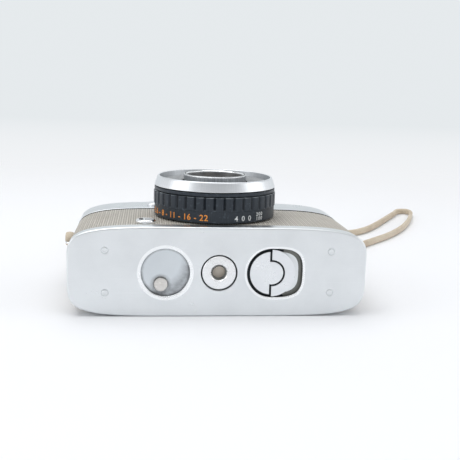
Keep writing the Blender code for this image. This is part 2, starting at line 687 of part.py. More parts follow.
def gear_module():
    span = math.dist((TAKE_UP_X, TAKE_UP_DEPTH), (SPROCKET_X, SPROCKET_DEPTH))
    return 2 * span / (WHEEL_TEETH + PINION_TEETH)


def make_transport():
    x, z = TAKE_UP_X, TAKE_UP_DEPTH
    rim = []
    ridges = 30
    for k in range(2 * ridges):
        angle = math.pi * k / ridges
        radius = WHEEL_RADIUS - (0.5 * MM if k % 2 else 0)
        rim.append((x + radius * math.cos(angle), z + radius * math.sin(angle)))
    place(plate("advance_wheel", [rim], WHEEL_Y, WHEEL_Y + WHEEL_THICKNESS, "black_plastic"),
          (x, WHEEL_Y, z))
    centre_line = math.atan2(SPROCKET_DEPTH - z, SPROCKET_X - x)
    place(plate("wheel_gear", [gear(WHEEL_TEETH, gear_module(), centre_line, x, z)],
                GEAR_Y, GEAR_Y + GEAR_THICKNESS, "brass"), (x, GEAR_Y, z))
    phase = centre_line + math.pi + math.pi / PINION_TEETH
    place(plate("sprocket_gear",
                [gear(PINION_TEETH, gear_module(), phase, SPROCKET_X, SPROCKET_DEPTH)],
                GEAR_Y, GEAR_Y + GEAR_THICKNESS, "brass"), (SPROCKET_X, GEAR_Y, SPROCKET_DEPTH))
    spool_low = CAST_FLOOR_Y + FLOOR + CLEARANCE
    spool_high = CHAMBER_TOP - CLEARANCE
    flange, core = TAKE_UP_RADIUS - 1.1 * MM, 6.5 * MM
    turned("take_up_spool",
                [(0, WHEEL_Y - CLEARANCE), (SHAFT_RADIUS, WHEEL_Y - CLEARANCE),
                 (SHAFT_RADIUS, spool_high), (flange, spool_high), (flange, spool_high - 1 * MM),
                 (core, spool_high - 1 * MM), (core, spool_low + 1 * MM),
                 (flange, spool_low + 1 * MM), (flange, spool_low), (0, spool_low)],
                (x, 0, z), "Y", "black_plastic", steps=20)
    make_sprocket(spool_low, spool_high)
    dial_y = TOP_INNER - 1.3 * MM
    turned("counter_dial",
                [(0, dial_y + 0.8 * MM), (COUNTER_RADIUS, dial_y + 0.8 * MM),
                 (COUNTER_RADIUS, dial_y), (1.2 * MM, dial_y),
                 (1.2 * MM, GEAR_Y + GEAR_THICKNESS + CLEARANCE),
                 (0, GEAR_Y + GEAR_THICKNESS + CLEARANCE)],
                (x, 0, z), "Y", "white_plastic", steps=24)
    rod("counter_window", COUNTER_WINDOW, (x, 0, z), "Y", TOP_INNER, TOP_Y - 0.1 * MM, "glass")


def make_sprocket(low, high):
    """The shaft that meters the film, with a toothed wheel at each edge of the film."""
    release_travel = 1.5 * MM
    top = GEAR_Y - CLEARANCE
    shaft = rod("sprocket_shaft", SHAFT_RADIUS, (SPROCKET_X, 0, SPROCKET_DEPTH), "Y",
                low + release_travel, top, "cast_alloy", steps=16)
    film_half = 14.2 * MM
    for index, offset in enumerate((-film_half, film_half)):
        teeth = gear(SPROCKET_TEETH, 2 * SPROCKET_RADIUS / SPROCKET_TEETH, 0,
                     SPROCKET_X, SPROCKET_DEPTH, tip=0.7, root=0.0)
        join(shaft, plate("join_sprocket_" + str(index), [teeth], LENS_Y + offset - 1 * MM,
                          LENS_Y + offset + 1 * MM))
    drum = rod("join_drum", SPROCKET_RADIUS - 1 * MM, (SPROCKET_X, 0, SPROCKET_DEPTH), "Y",
               LENS_Y - film_half, LENS_Y + film_half, steps=16)
    join(shaft, drum)


def make_release():
    x, z = BUTTON_X, BUTTON_DEPTH
    travel = 2.2 * MM
    stem_end = GEAR_Y + GEAR_THICKNESS + CLEARANCE + travel + 0.1 * MM
    top = TOP_Y + BUTTON_PROUD
    turned("shutter_button",
                [(0, top - 1.2 * MM), (1.0 * MM, top - 1.2 * MM), (1.0 * MM, top),
                 (BUTTON_RADIUS - 0.5 * MM, top), (BUTTON_RADIUS, top - 0.5 * MM),
                 (BUTTON_RADIUS, TOP_Y - 1.5 * MM), (2 * MM, TOP_Y - 1.5 * MM),
                 (2 * MM, stem_end), (0, stem_end)],
                (x, 0, z), "Y", "bright_chrome", steps=24)
    collar_base = TOP_Y + CLEARANCE
    turned("release_collar",
           [(5.6 * MM, collar_base + 0.9 * MM), (6.2 * MM, collar_base),
            (BUTTON_RADIUS + CLEARANCE, collar_base),
            (BUTTON_RADIUS + CLEARANCE, collar_base + 0.9 * MM)],
           (x, 0, z), "Y", "bright_chrome", steps=24)


def make_rewind():
    x, z = CASSETTE_X, CASSETTE_DEPTH
    base = TOP_Y + CLEARANCE
    top = base + KNOB_HEIGHT
    knob = turned("rewind_knob",
                       [(0, top), (KNOB_RADIUS - 0.5 * MM, top), (KNOB_RADIUS, top - 0.5 * MM),
                        (KNOB_RADIUS, base), (0, base)], (x, 0, z), "Y", "bright_chrome")
    pocket = rod("cut_crank_pocket", 2.6 * MM, (x - CRANK_END, 0, z), "Y",
                 top - 2.0 * MM, top + 5 * MM)
    cut(knob, pocket)
    half = CRANK_WIDTH / 2
    thick = 0.8 * MM
    crank_y = top + CLEARANCE
    crank = arc(half, x - CRANK_END, z, 90, 270, 8)
    crank += [(x + CRANK_PIVOT + thick / 2, z - half), (x + CRANK_PIVOT + thick / 2, z + half)]
    place(plate("rewind_crank", [crank], crank_y, crank_y + thick, "bright_chrome"),
          (x + CRANK_PIVOT, crank_y + thick / 2, z))
    place(rod("crank_knob", 1.8 * MM, (x - CRANK_END, 0, z), "Y", crank_y - 0.3 * MM - 1.5 * MM,
              crank_y - 0.3 * MM, "bright_chrome", steps=16), (x - CRANK_END, crank_y, z))
    fork_y = CHAMBER_TOP - 3.7 * MM
    fork = rod("rewind_fork", SHAFT_RADIUS, (x, 0, z), "Y", fork_y + 1.5 * MM, TOP_Y,
               "cast_alloy", steps=16)
    join(fork, block("join_fork_blade", (x - 2.8 * MM, fork_y, z - 0.6 * MM),
                     (x + 2.8 * MM, fork_y + 2.2 * MM, z + 0.6 * MM)))


# ---------------------------------------------------------------- rear cover

def recess_outline(grow=0.0):
    """A circle whose cassette side is drawn out into a rounded square end."""
    radius, reach, power = KEY_RECESS_RADIUS + grow, KEY_RECESS_REACH + grow, 3.3
    points = []
    steps = 8
    for k in range(4 * steps):
        angle = math.pi / 2 / steps * (k + 0.5)
        if math.cos(angle) > 0:
            x, z = super_point(angle, reach, radius, power)
        else:
            x, z = radius * math.cos(angle), radius * math.sin(angle)
        points.append((KEY_X + x, FITTING_DEPTH + z))
    return points


def make_rear_cover():
    over = 3 * MM
    tray = shell("base_plate", 0, LIP_Y, BASE_Y, BASE_EDGE, 2, "satin_chrome")
    dish_floor = BASE_Y + DISH_DEPTH
    dish = (DISH_X, 0, FITTING_DEPTH)
    join(tray,
         rod("join_dish", DISH_RADIUS + CUP_WALL, dish, "Y", BASE_Y + SHEET / 2,
             dish_floor + CUP_WALL, steps=32),
         plate("join_key_cup", [recess_outline(CUP_WALL)], BASE_Y + SHEET / 2,
               CUP_FLOOR_Y + CUP_WALL))
    cut(tray,
        rod("cut_dish", DISH_RADIUS, dish, "Y", BASE_Y - over, dish_floor, steps=32),
        plate("cut_key_recess", [recess_outline()], BASE_Y - over, CUP_FLOOR_Y),
        rod("cut_dish_button", RELEASE_RADIUS + CLEARANCE, (SPROCKET_X, 0, SPROCKET_DEPTH), "Y",
            BASE_Y - over, BASE_Y + over, steps=16),
        rod("cut_key_shaft", SHAFT_RADIUS + CLEARANCE, (KEY_X, 0, FITTING_DEPTH), "Y",
            BASE_Y - over, BASE_Y + over, steps=16),
        rod("cut_bushing_hole", BUSHING_RADIUS + BUSHING_GAP, (0, 0, FITTING_DEPTH), "Y",
            BASE_Y - over, BASE_Y + over, steps=32))

    back = plate("back_plate",
                 [band(PLATE_INSET, BACK_INNER, SIDE_SEAM - CLEARANCE, False)],
                 LINING_Y, SEAM_Y + BACK_TONGUE, "cast_alloy")
    join(back, plate("join_lining", [body_outline(PLATE_INSET + 0.05 * MM)], LINING_Y, LINING_TOP))
    cut(back,
        rod("cut_lining_dish", DISH_RADIUS + CUP_WALL + CLEARANCE, dish, "Y", BASE_Y - over,
            BASE_Y + 2 * over, steps=24),
        plate("cut_lining_key", [recess_outline(CUP_WALL + CLEARANCE)], BASE_Y - over,
              BASE_Y + 2 * over),
        rod("cut_lining_bushing", BUSHING_RADIUS + BUSHING_GAP, (0, 0, FITTING_DEPTH), "Y",
            BASE_Y - over, BASE_Y + 2 * over, steps=24))
    for side in (-1, 1):
        for index, depth in enumerate(RIVET_DEPTHS):
            tag = ("right_", "", "left_")[side + 1] + ("rear", "front")[index]
            spot = (-side * RIVET_X, 0, depth)
            hole = rod("cut_rivet_" + tag, RIVET_RADIUS + CLEARANCE, spot, "Y", BASE_Y - over,
                       BASE_Y + over, steps=12)
            cut(tray, hole)
            cut(back, hole)
            rod("rivet_" + tag, RIVET_RADIUS, spot, "Y", BASE_Y - 0.15 * MM,
                LINING_TOP + 0.2 * MM, "bright_chrome", steps=12)
    plate("back_leatherette", [band(0, LEATHER, SIDE_SEAM - CLEARANCE / 2, False)],
          LIP_Y + CLEARANCE, SEAM_Y - CLEARANCE, "covering")


def make_pressure_plate():
    back = BACK_INNER + CLEARANCE
    low, high = FILM_PLANE - 1.7 * MM, FILM_PLANE - 0.4 * MM
    half = 15 * MM
    width = 14.5 * MM
    place(block("pressure_plate", (-width, LENS_Y - half, low), (width, LENS_Y + half, high),
                "black_metal"), (0, LENS_Y, low))
    reach = 12 * MM
    thin = 0.3 * MM
    crown = low - CLEARANCE - thin - back
    arch = [(reach * k / 6, back + crown * (1 - (k / 6) ** 2)) for k in range(-6, 7)]
    strip = arch + [(x, z + thin) for x, z in reversed(arch)]
    plate("pressure_spring", [strip], LENS_Y - 4 * MM, LENS_Y + 4 * MM, "cast_alloy")


def make_lock():
    x, z = KEY_X, FITTING_DEPTH
    slit = 0.5 * MM
    face = BASE_Y + 0.1 * MM
    outer_angle = math.degrees(math.acos(-slit / KEY_RADIUS))
    inner_angle = math.degrees(math.acos(-slit / KEY_BOSS))
    top = arc(KEY_RADIUS, x, z, outer_angle, 360 - outer_angle, 16)
    top += arc(KEY_BOSS, x, z, -inner_angle, inner_angle, 12)
    key = plate("lock_key", [top], face, KEY_BASE_TOP + 0.1 * MM, "satin_chrome")
    join(key,
         rod("join_key_disc", KEY_RADIUS - 0.02 * MM, (x, 0, z), "Y", KEY_BASE_TOP,
             CUP_FLOOR_Y - CLEARANCE, steps=30),
         rod("join_key_shaft", SHAFT_RADIUS, (x, 0, z), "Y", KEY_BASE_TOP + 0.1 * MM,
             CAM_Y - CLEARANCE, steps=16))
    place(key, (x, BASE_Y, z))

    fold = -0.2 * MM
    flap_outer = math.degrees(math.acos(fold / FLAP_RADIUS))
    bore = KEY_BOSS + 0.4 * MM
    flap_inner = math.degrees(math.acos(fold / bore))
    ring = arc(FLAP_RADIUS, x, z, -flap_outer, flap_outer, 16)
    ring += arc(bore, x, z, flap_inner, -flap_inner, 10)
    hinge = (x + fold + FLAP_THICKNESS / 2, face + FLAP_THICKNESS / 2, z)
    place(plate("key_flap", [ring], face, face + FLAP_THICKNESS, "satin_chrome"), hinge)

    lobe = 2 * MM
    hub = 3 * MM
    start = math.degrees(math.asin(lobe / hub))
    cam = arc(hub, x, z, start, 360 - start, 14)
    cam += [(x + CAM_LOBE, z - lobe), (x + CAM_LOBE, z + lobe)]
    place(plate("lock_cam", [cam], CAM_Y, CAM_Y + 0.6 * MM, "cast_alloy"), (x, CAM_Y, z))

    catch_low = CUP_FLOOR_Y + CUP_WALL + CLEARANCE
    near, far = z + 5.5 * MM, z + 9.5 * MM
    side = 2.5 * MM
    catch = block("lock_catch", (x - side, catch_low, near),
                  (x + side, CAM_Y - CLEARANCE, far), "cast_alloy")
    join(catch, block("join_catch_riser", (x - side, catch_low, far - 1 * MM),
                      (x + side, CAST_FLOOR_Y - CLEARANCE, far)))


def make_rewind_release():
    x, z = SPROCKET_X, SPROCKET_DEPTH
    face = BASE_Y + 0.6 * MM
    turned("rewind_release_button",
                [(0, CAST_FLOOR_Y + FLOOR - 0.1 * MM),
                 (RELEASE_RADIUS, CAST_FLOOR_Y + FLOOR - 0.1 * MM),
                 (RELEASE_RADIUS, face + 0.3 * MM), (RELEASE_RADIUS - 0.3 * MM, face), (0, face)],
                (x, 0, z), "Y", "brass", steps=16)


# ---------------------------------------------------------------- strap

STRAP_ROUTE = [
    (63.4, 22.4, 20.0), (63.6, 30.0, 19.3), (65.2, 42.0, 16.0), (69.5, 56.0, 10.5),
    (76.5, 70.0, 5.2), (86.0, 86.0, 2.6), (97.5, 101.0, 2.2), (108.5, 113.5, 2.2),
    (119.0, 125.5, 2.2), (129.0, 139.0, 2.2), (138.5, 154.0, 2.2), (147.0, 170.0, 2.2),
    (154.5, 186.0, 2.2), (161.0, 202.0, 2.2), (165.5, 214.5, 2.2), (165.0, 223.5, 2.2),
    (158.0, 222.5, 2.2), (151.0, 210.5, 2.2), (142.0, 195.0, 2.2), (132.5, 179.0, 2.2),
    (122.5, 162.5, 2.2), (112.0, 147.5, 2.2), (100.0, 136.5, 2.2), (84.0, 131.5, 2.2),
    (64.0, 132.0, 2.2), (38.0, 139.0, 2.2), (10.0, 146.0, 2.2), (-20.0, 144.0, 2.2),
    (-44.0, 130.0, 2.2), (-58.0, 108.0, 2.6), (-64.0, 84.0, 5.0), (-65.0, 62.0, 10.0),
    (-64.4, 44.0, 15.8), (-63.6, 31.0, 19.2), (-63.4, 22.4, 20.0)]
STRAP_POINTS = 78
STRAP_WIDEN = (BODY_WIDTH / 2 + STRAP_REACH) / STRAP_ROUTE[0][0]   # keeps it beside the body


def smooth_route(route, count):
    """Evenly spaced points on a Catmull-Rom curve through the route."""
    ends = [route[0]] + list(route) + [route[-1]]
    fine = []
    for a, b, c, d in zip(ends, ends[1:], ends[2:], ends[3:]):
        for k in range(12):
            t = k / 12
            fine.append([0.5 * (2 * q + (r - p) * t + (2 * p - 5 * q + 4 * r - s) * t * t
                                + (3 * q - p - 3 * r + s) * t ** 3)
                         for p, q, r, s in zip(a, b, c, d)])
    fine.append(list(route[-1]))
    lengths = [0.0]
    for p, q in zip(fine, fine[1:]):
        lengths.append(lengths[-1] + math.dist(p, q))
    points = []
    index = 0
    for k in range(count):
        target = lengths[-1] * k / (count - 1)
        while index < len(lengths) - 2 and lengths[index + 1] < target:
            index += 1
        share = (target - lengths[index]) / (lengths[index + 1] - lengths[index])
        points.append([p + (q - p) * share for p, q in zip(fine[index], fine[index + 1])])
    return points


def make_strap():
    curve = bpy.data.curves.new("strap", "CURVE")
    curve.dimensions = "3D"
    curve.bevel_depth = STRAP_DIAMETER / 2
    curve.bevel_resolution = 2
    curve.use_fill_caps = True
    spline = curve.splines.new("POLY")
    points = smooth_route(STRAP_ROUTE, STRAP_POINTS)
    spline.points.add(len(points) - 1)
    for point, (x, y, z) in zip(spline.points, points):
        point.co = (x * STRAP_WIDEN, y * MM, z * MM, 1)
    strap = bpy.data.objects.new("strap", curve)
    PARTS.objects.link(strap)
    curve.materials.append(finish("strap_leather"))
    side_x = BODY_WIDTH / 2 + CLEARANCE
    for side, word in ((-1, "right"), (1, "left")):
        make_lug(side, word, side_x)


def ring_mesh(name, major, minor, matrix, material, around=14, across=6):
    bpy.ops.mesh.primitive_torus_add(major_radius=major, minor_radius=minor,
                                     major_segments=around, minor_segments=across)
    obj = bpy.context.object
    obj.name = name
    for collection in obj.users_collection:
        collection.objects.unlink(obj)
    PARTS.objects.link(obj)
    obj.data.transform(matrix)
    obj.data.materials.append(finish(material))
    smooth(obj.data, 60)
    return obj


def make_lug(side, word, side_x):
    """An eyelet on the side of the top cover, with the strap's end loop through it."""
    plate_x = side_x + 0.6 * MM
    eye_x = plate_x + LUG_RING - 0.1 * MM
    low, high = sorted((side * side_x, side * plate_x))
    lug = rod("strap_lug_" + word, 2.6 * MM, (0, LUG_Y, LUG_DEPTH), "X", low, high,
              "bright_chrome", steps=16)
    join(lug, ring_mesh("join_eye_" + word, LUG_RING, LUG_WIRE,
                        Matrix.Translation((side * eye_x, LUG_Y, LUG_DEPTH)), "bright_chrome"))
    loop_y = LUG_Y + LUG_RING + 0.1 * MM
    turn = Matrix.Rotation(math.pi / 2, 4, "Y")
    ring_mesh("strap_end_" + word, 2.0 * MM, 0.7 * MM,
              Matrix.Translation((side * eye_x, loop_y, LUG_DEPTH)) @ turn, "strap_leather")


def main():
    for obj in list(bpy.data.objects):
        bpy.data.objects.remove(obj)
    bpy.context.scene.collection.children.link(PARTS)
    bpy.context.scene.collection.children.link(CUTTERS)
    make_casting()
    make_front_covering()
    make_top_cover()
    make_bushing()
    make_front_fittings()
    make_lens()
    make_exposure_ring()
    make_viewfinder()
    make_meter()
    make_transport()
    make_release()
    make_rewind()
    make_rear_cover()
    make_pressure_plate()
    make_lock()
    make_rewind_release()
    make_strap()


main()
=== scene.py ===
"""Half frame camera lying on its back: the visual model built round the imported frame.

The frame's axes: the rear face rests on z = 0, the lens points along +Z, the base plate
faces -Y and the top cover +Y. Sizes here are in metres, through MM.
"""
import math

import bmesh
import bpy
from mathutils import Matrix, Vector


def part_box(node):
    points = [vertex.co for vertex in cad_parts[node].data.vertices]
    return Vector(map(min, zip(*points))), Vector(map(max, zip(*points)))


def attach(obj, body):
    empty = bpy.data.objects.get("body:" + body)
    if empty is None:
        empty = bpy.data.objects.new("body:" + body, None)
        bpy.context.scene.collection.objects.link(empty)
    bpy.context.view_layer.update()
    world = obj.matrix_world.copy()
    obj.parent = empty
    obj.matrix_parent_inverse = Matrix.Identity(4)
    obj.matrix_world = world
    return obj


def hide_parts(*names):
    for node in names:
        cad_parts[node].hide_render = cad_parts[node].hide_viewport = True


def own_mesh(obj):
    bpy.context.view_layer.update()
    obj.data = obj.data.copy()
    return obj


MM = 0.001
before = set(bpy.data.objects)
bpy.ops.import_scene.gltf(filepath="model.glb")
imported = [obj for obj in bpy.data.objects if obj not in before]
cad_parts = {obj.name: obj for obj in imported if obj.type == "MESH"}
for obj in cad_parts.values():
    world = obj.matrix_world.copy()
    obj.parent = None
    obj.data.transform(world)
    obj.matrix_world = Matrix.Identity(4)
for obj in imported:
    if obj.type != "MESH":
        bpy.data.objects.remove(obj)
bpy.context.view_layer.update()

# ---------------------------------------------------------------- camera

FOCAL_LENGTH, SENSOR_WIDTH = 59.89, 36
CAMERA_PLACE = (-28.471, -330.984, 92.847)
PITCH, YAW, ROLL = 0.188, 0.108, 0.029
cam_data = bpy.data.cameras.new("camera")
cam_data.lens = FOCAL_LENGTH
cam_data.sensor_width = SENSOR_WIDTH
cam_data.clip_start = 0.01
cam_data.clip_end = 20
cam = bpy.data.objects.new("camera", cam_data)
bpy.context.scene.collection.objects.link(cam)
forward = Vector((math.sin(YAW) * math.cos(PITCH), math.cos(YAW) * math.cos(PITCH),
                  -math.sin(PITCH)))
right = Vector((math.cos(YAW), -math.sin(YAW), 0))
up = right.cross(forward)
cam_x = math.cos(ROLL) * right + math.sin(ROLL) * up
cam_y = -math.sin(ROLL) * right + math.cos(ROLL) * up
cam.matrix_world = Matrix.Translation(Vector(CAMERA_PLACE) * MM) @ Matrix(
    (cam_x, cam_y, -forward)).transposed().to_4x4()
bpy.context.scene.camera = cam
bpy.context.scene.view_settings.view_transform = "Standard"


# ---------------------------------------------------------------- node materials

class Nodes:
    """A short way to write a node tree."""

    def __init__(self, name):
        self.material = bpy.data.materials.new(name)
        self.material.use_nodes = True
        self.tree = self.material.node_tree
        self.shader = self.tree.nodes["Principled BSDF"]
        self.place = self.tree.nodes.new("ShaderNodeTexCoord").outputs["Object"]

    def put(self, socket, value):
        if isinstance(value, bpy.types.NodeSocket):
            self.tree.links.new(value, socket)
        elif value is not None:
            socket.default_value = value

    def add(self, kind, inputs=(), **settings):
        node = self.tree.nodes.new("ShaderNode" + kind)
        for key, value in settings.items():
            setattr(node, key, value)
        for key, value in dict(inputs).items():
            self.put(node.inputs[key], value)
        return node

    def math(self, operation, a, b=None, c=None):
        return self.add("Math", {0: a, 1: b, 2: c}, operation=operation).outputs[0]

    def noise(self, scale, vector=None, detail=2.0, rough=0.5):
        return self.add("TexNoise", {"Vector": vector or self.place, "Scale": scale,
                                     "Detail": detail, "Roughness": rough}).outputs["Fac"]

    def stretch(self, x=1.0, y=1.0, z=1.0, vector=None):
        return self.add("VectorMath", {0: vector or self.place, 1: (x, y, z)},
                        operation="MULTIPLY").outputs[0]

    def span(self, value, low, high, to_low=0.0, to_high=1.0):
        """Value from low..high to to_low..to_high, clamped."""
        return self.add("MapRange", {"Value": value, "From Min": low, "From Max": high,
                                     "To Min": to_low, "To Max": to_high}).outputs[0]

    def blend(self, share, a, b):
        node = self.add("Mix", {0: share}, data_type="RGBA")
        for socket, value in ((node.inputs[6], a), (node.inputs[7], b)):
            self.put(socket, (*value, 1) if isinstance(value, tuple) else value)
        return node.outputs[2]

    def bump(self, height, distance, strength=1.0, normal=None):
        return self.add("Bump", {"Height": height, "Distance": distance, "Strength": strength,
                                 "Normal": normal}).outputs[0]

    def parts(self):
        return self.add("SeparateXYZ", {0: self.place}).outputs

    def turn_angle(self, x, y):
        """The angle about a line along Z through (x, y)."""
        px, py, _ = self.parts()
        return self.math("ARCTAN2", self.math("SUBTRACT", py, y), self.math("SUBTRACT", px, x))

    def spot(self, centre, inner, outer):
        """1 within inner of a point, falling to 0 at outer."""
        away = self.add("VectorMath", {0: self.place, 1: centre}, operation="DISTANCE")
        return self.span(away.outputs["Value"], inner, outer, 1.0, 0.0)

    def surface(self, colour=None, rough=None, normal=None, metal=0.0, **constants):
        s = self.shader.inputs
        if isinstance(colour, tuple):
            colour = (*colour, 1)
        self.put(s["Base Color"], colour)
        self.put(s["Roughness"], rough)
        self.put(s["Normal"], normal)
        s["Metallic"].default_value = metal
        for key, value in constants.items():
            s[key.replace("_", " ")].default_value = value
        return self.material


def worn_metal(name, colour, dark, rough, grain, grain_depth, scratch=0.12, dents=()):
    """Plated metal: fine grain, smudges, hairline scratches and a few soft dents."""
    n = Nodes(name)
    smudge = n.noise(60, detail=4, rough=0.6)
    fine = n.noise(grain, detail=2)
    hair_a = n.noise(40, n.stretch(1, 22, 22), detail=1)
    hair_b = n.noise(35, n.stretch(18, 3, 26), detail=1)
    hairs = n.math("MAXIMUM", n.span(hair_a, 0.66, 0.70), n.span(hair_b, 0.68, 0.72))
    tone = n.blend(n.span(smudge, 0.42, 0.75, 0.0, 0.45), colour, dark)
    tone = n.blend(n.math("MULTIPLY", hairs, scratch), tone, tuple(min(1, c * 1.1) for c in colour))
    roughness = n.math("ADD", n.span(smudge, 0.3, 0.7, rough - 0.04, rough + 0.07),
                       n.math("MULTIPLY", n.span(fine, 0.3, 0.7), 0.05))
    height = n.math("SUBTRACT", fine, n.math("MULTIPLY", hairs, 0.8))
    normal = n.bump(height, grain_depth, 0.6)
    for centre, size, depth in dents:
        centre = tuple(v * MM for v in centre)
        hollow = n.spot(centre, 0.0, size * MM)
        soft = n.math("MULTIPLY", hollow, n.math("MULTIPLY", hollow, -1.0))
        normal = n.bump(soft, depth * MM, 1.0, normal)
    return n.surface(tone, roughness, normal, 1.0)


def turned_metal(name, colour, dark, rough, lines, depth, metal=1.0, centre=(0.0, 0.0), wear=None,
                 ribs=None):
    """Metal with fine lines running along Z all round a turned piece.

    Where ribs is (bottom radius, top radius, foot height, edge height) in millimetres, the
    grooves between the ribs are painted darker above the foot as painted shade, and the rim is
    paler at the edge, rubbed wear with a painted highlight.
    """
    n = Nodes(name)
    angle = n.turn_angle(*centre)
    z = n.parts()[2]
    around = n.add("CombineXYZ", {0: n.math("MULTIPLY", angle, lines), 1: n.math("MULTIPLY", z, 25),
                                  2: 0.0}).outputs[0]
    streak = n.noise(1.0, around, detail=3, rough=0.7)
    smudge = n.noise(90, detail=3)
    tone = n.blend(n.span(streak, 0.35, 0.7), colour, dark)
    if wear:
        chips = n.math("MULTIPLY", n.span(n.noise(700, detail=3), 0.60, 0.68), 0.5)
        tone = n.blend(chips, tone, wear)
    if ribs:
        px, py, pz = n.parts()
        flat = n.add("CombineXYZ", {0: n.math("SUBTRACT", px, centre[0]),
                                    1: n.math("SUBTRACT", py, centre[1]), 2: 0.0}).outputs[0]
        out = n.add("VectorMath", {0: flat}, operation="LENGTH").outputs["Value"]
        # painted shade in the grooves between the ribs
        groove = n.math("MULTIPLY", n.span(out, ribs[0] * MM, ribs[1] * MM, 1.0, 0.0),
                        n.span(pz, ribs[2] * MM, (ribs[2] + 1.2) * MM))
        tone = n.blend(n.math("MULTIPLY", groove, 0.7), tone, (0.004, 0.005, 0.007))
        # a paler rim at the edge: rubbed wear with a painted highlight
        rubbed_and_highlight = n.math("MULTIPLY", n.span(pz, ribs[3] * MM, (ribs[3] + 0.2) * MM),
                        n.span(n.noise(300, detail=4), 0.42, 0.62, 0.15, 0.8))
        tone = n.blend(rubbed_and_highlight, tone, (0.30, 0.33, 0.35))
    mixed = n.math("ADD", n.math("MULTIPLY", streak, 0.6), n.math("MULTIPLY", smudge, 0.4))
    roughness = n.span(mixed, 0.3, 0.7, rough - 0.06, rough + 0.08)
    return n.surface(tone, roughness, n.bump(streak, depth, 0.5), metal,
                     Specular_IOR_Level=0.5 if metal else 0.35)


def moulded(name, colour, light, rough, metal=0.0, grain=2200, depth=0.02 * MM):
    """Black paint or plastic with a fine grain and paler rubbed patches."""
    n = Nodes(name)
    rub = n.noise(110, detail=5, rough=0.65)
    fine = n.noise(grain, detail=2)
    tone = n.blend(n.span(rub, 0.5, 0.8, 0.0, 0.8), colour, light)
    roughness = n.span(rub, 0.3, 0.7, rough - 0.07, rough + 0.07)
    return n.surface(tone, roughness, n.bump(fine, depth, 0.5), metal)


def dirty_plate(name, source_tone, spots):
    """Satin plate darkened round given spots by painted shade, broken up by grime: spots are (axis
    x, z, from, to, share).
    """
    n = Nodes(name)
    px, py, pz = n.parts()
    smudge = n.noise(60, detail=4, rough=0.6)
    fine = n.noise(2600, detail=2)
    tone = n.blend(n.span(smudge, 0.42, 0.75, 0.0, 0.45), source_tone,
                   tuple(c * 0.86 for c in source_tone))
    grime_and_shade = n.noise(420, detail=5, rough=0.7)
    # painted shade: each spot darkens the plate by distance from its axis, patchy with grime
    for x, z, inner, outer, share in spots:
        away = n.add("CombineXYZ", {0: n.math("SUBTRACT", px, x * MM), 1: 0.0,
                                    2: n.math("SUBTRACT", pz, z * MM)}).outputs[0]
        length = n.add("VectorMath", {0: away}, operation="LENGTH").outputs["Value"]
        near = n.span(length, inner * MM, outer * MM)
        near = n.math("MULTIPLY", near, n.span(grime_and_shade, 0.3, 0.6, 0.45 * share, share))
        tone = n.blend(near, tone, (0.10, 0.10, 0.105))
    roughness = n.span(smudge, 0.3, 0.7, 0.27, 0.37)
    return n.surface(tone, roughness, n.bump(fine, 0.012 * MM, 0.6), 1.0)


def covering():
    """Ribbed cloth-backed leatherette: two warm greys by rib, the darker in the grooves as painted
    shade, and a fine cross weave.
    """
    n = Nodes("ribbed_leatherette")
    mark = n.add("Attribute", attribute_name="rib")
    rib = mark.outputs["Fac"]
    y = n.parts()[1]
    weave = n.math("SINE", n.math("MULTIPLY", y, 2 * math.pi / (0.62 * MM)))
    soil = n.noise(70, detail=4, rough=0.6)
    fibre = n.noise(2600, n.stretch(1, 0.35, 1), detail=3)
    # painted shade: the grooves between the ribs are dark, the rib tops light
    tone = n.blend(rib, (0.23, 0.21, 0.18), (0.585, 0.555, 0.50))
    tone = n.blend(n.span(soil, 0.45, 0.8, 0.0, 0.5), tone, (0.33, 0.285, 0.23))
    tone = n.blend(n.span(fibre, 0.4, 0.8, 0.0, 0.4), tone, (0.58, 0.57, 0.54))
    tone = n.blend(n.span(weave, 0.2, 1.0, 0.0, 0.22), tone, (0.24, 0.22, 0.19))
    # painted shadow where the covering meets the base lip, at the take-up end
    edge = n.math("MULTIPLY", n.span(y, -26.9 * MM, -24.6 * MM, 1.0, 0.0),
                  n.span(n.parts()[0], -57 * MM, -41 * MM, 0.9, 0.0))
    tone = n.blend(edge, tone, (0.03, 0.028, 0.025))
    height = n.math("ADD", n.math("MULTIPLY", weave, 0.35), fibre)
    return n.surface(tone, n.span(fibre, 0.3, 0.7, 0.5, 0.68), n.bump(height, 0.06 * MM, 0.6),
                     Specular_IOR_Level=0.35)


def strap_hide():
    """Cream leather: fine pores, soft creases and handling dirt."""
    n = Nodes("strap_hide")
    grain = n.add("TexVoronoi", {"Vector": n.place, "Scale": 1500.0},
                  feature="DISTANCE_TO_EDGE").outputs["Distance"]
    soil = n.noise(55, detail=5, rough=0.6)
    creases = n.noise(500, n.stretch(1, 1, 0.4), detail=4, rough=0.7)
    tone = n.blend(n.span(soil, 0.38, 0.72), (0.655, 0.57, 0.45), (0.53, 0.435, 0.325))
    tone = n.blend(n.span(creases, 0.5, 0.75, 0.0, 0.6), tone, (0.68, 0.61, 0.49))
    tone = n.blend(n.span(grain, 0.0, 0.12, 0.35, 0.0), tone, (0.38, 0.29, 0.19))
    height = n.math("ADD", n.span(grain, 0.0, 0.2), creases)
    return n.surface(tone, n.span(soil, 0.3, 0.7, 0.46, 0.62), n.bump(height, 0.05 * MM, 0.7),
                     Specular_IOR_Level=0.4)


def pane(name, colour, rough=0.06, metal=0.0, coat=0.0, ior=1.52, shine=0.5):
    """Dark coated glass with a few dust specks and wipe marks."""
    n = Nodes(name)
    dust = n.noise(3000, detail=2)
    wipe = n.noise(120, n.stretch(1, 3, 1), detail=4)
    tone = n.blend(n.span(dust, 0.68, 0.75, 0.0, 0.5), colour, (0.5, 0.5, 0.48))
    roughness = n.math("ADD", n.span(wipe, 0.4, 0.8, rough, rough + 0.07),
                       n.span(dust, 0.66, 0.74, 0.0, 0.3))
    return n.surface(tone, roughness, n.bump(dust, 0.01 * MM, 0.25), metal,
                     Coat_Weight=coat, IOR=ior, Specular_IOR_Level=shine)


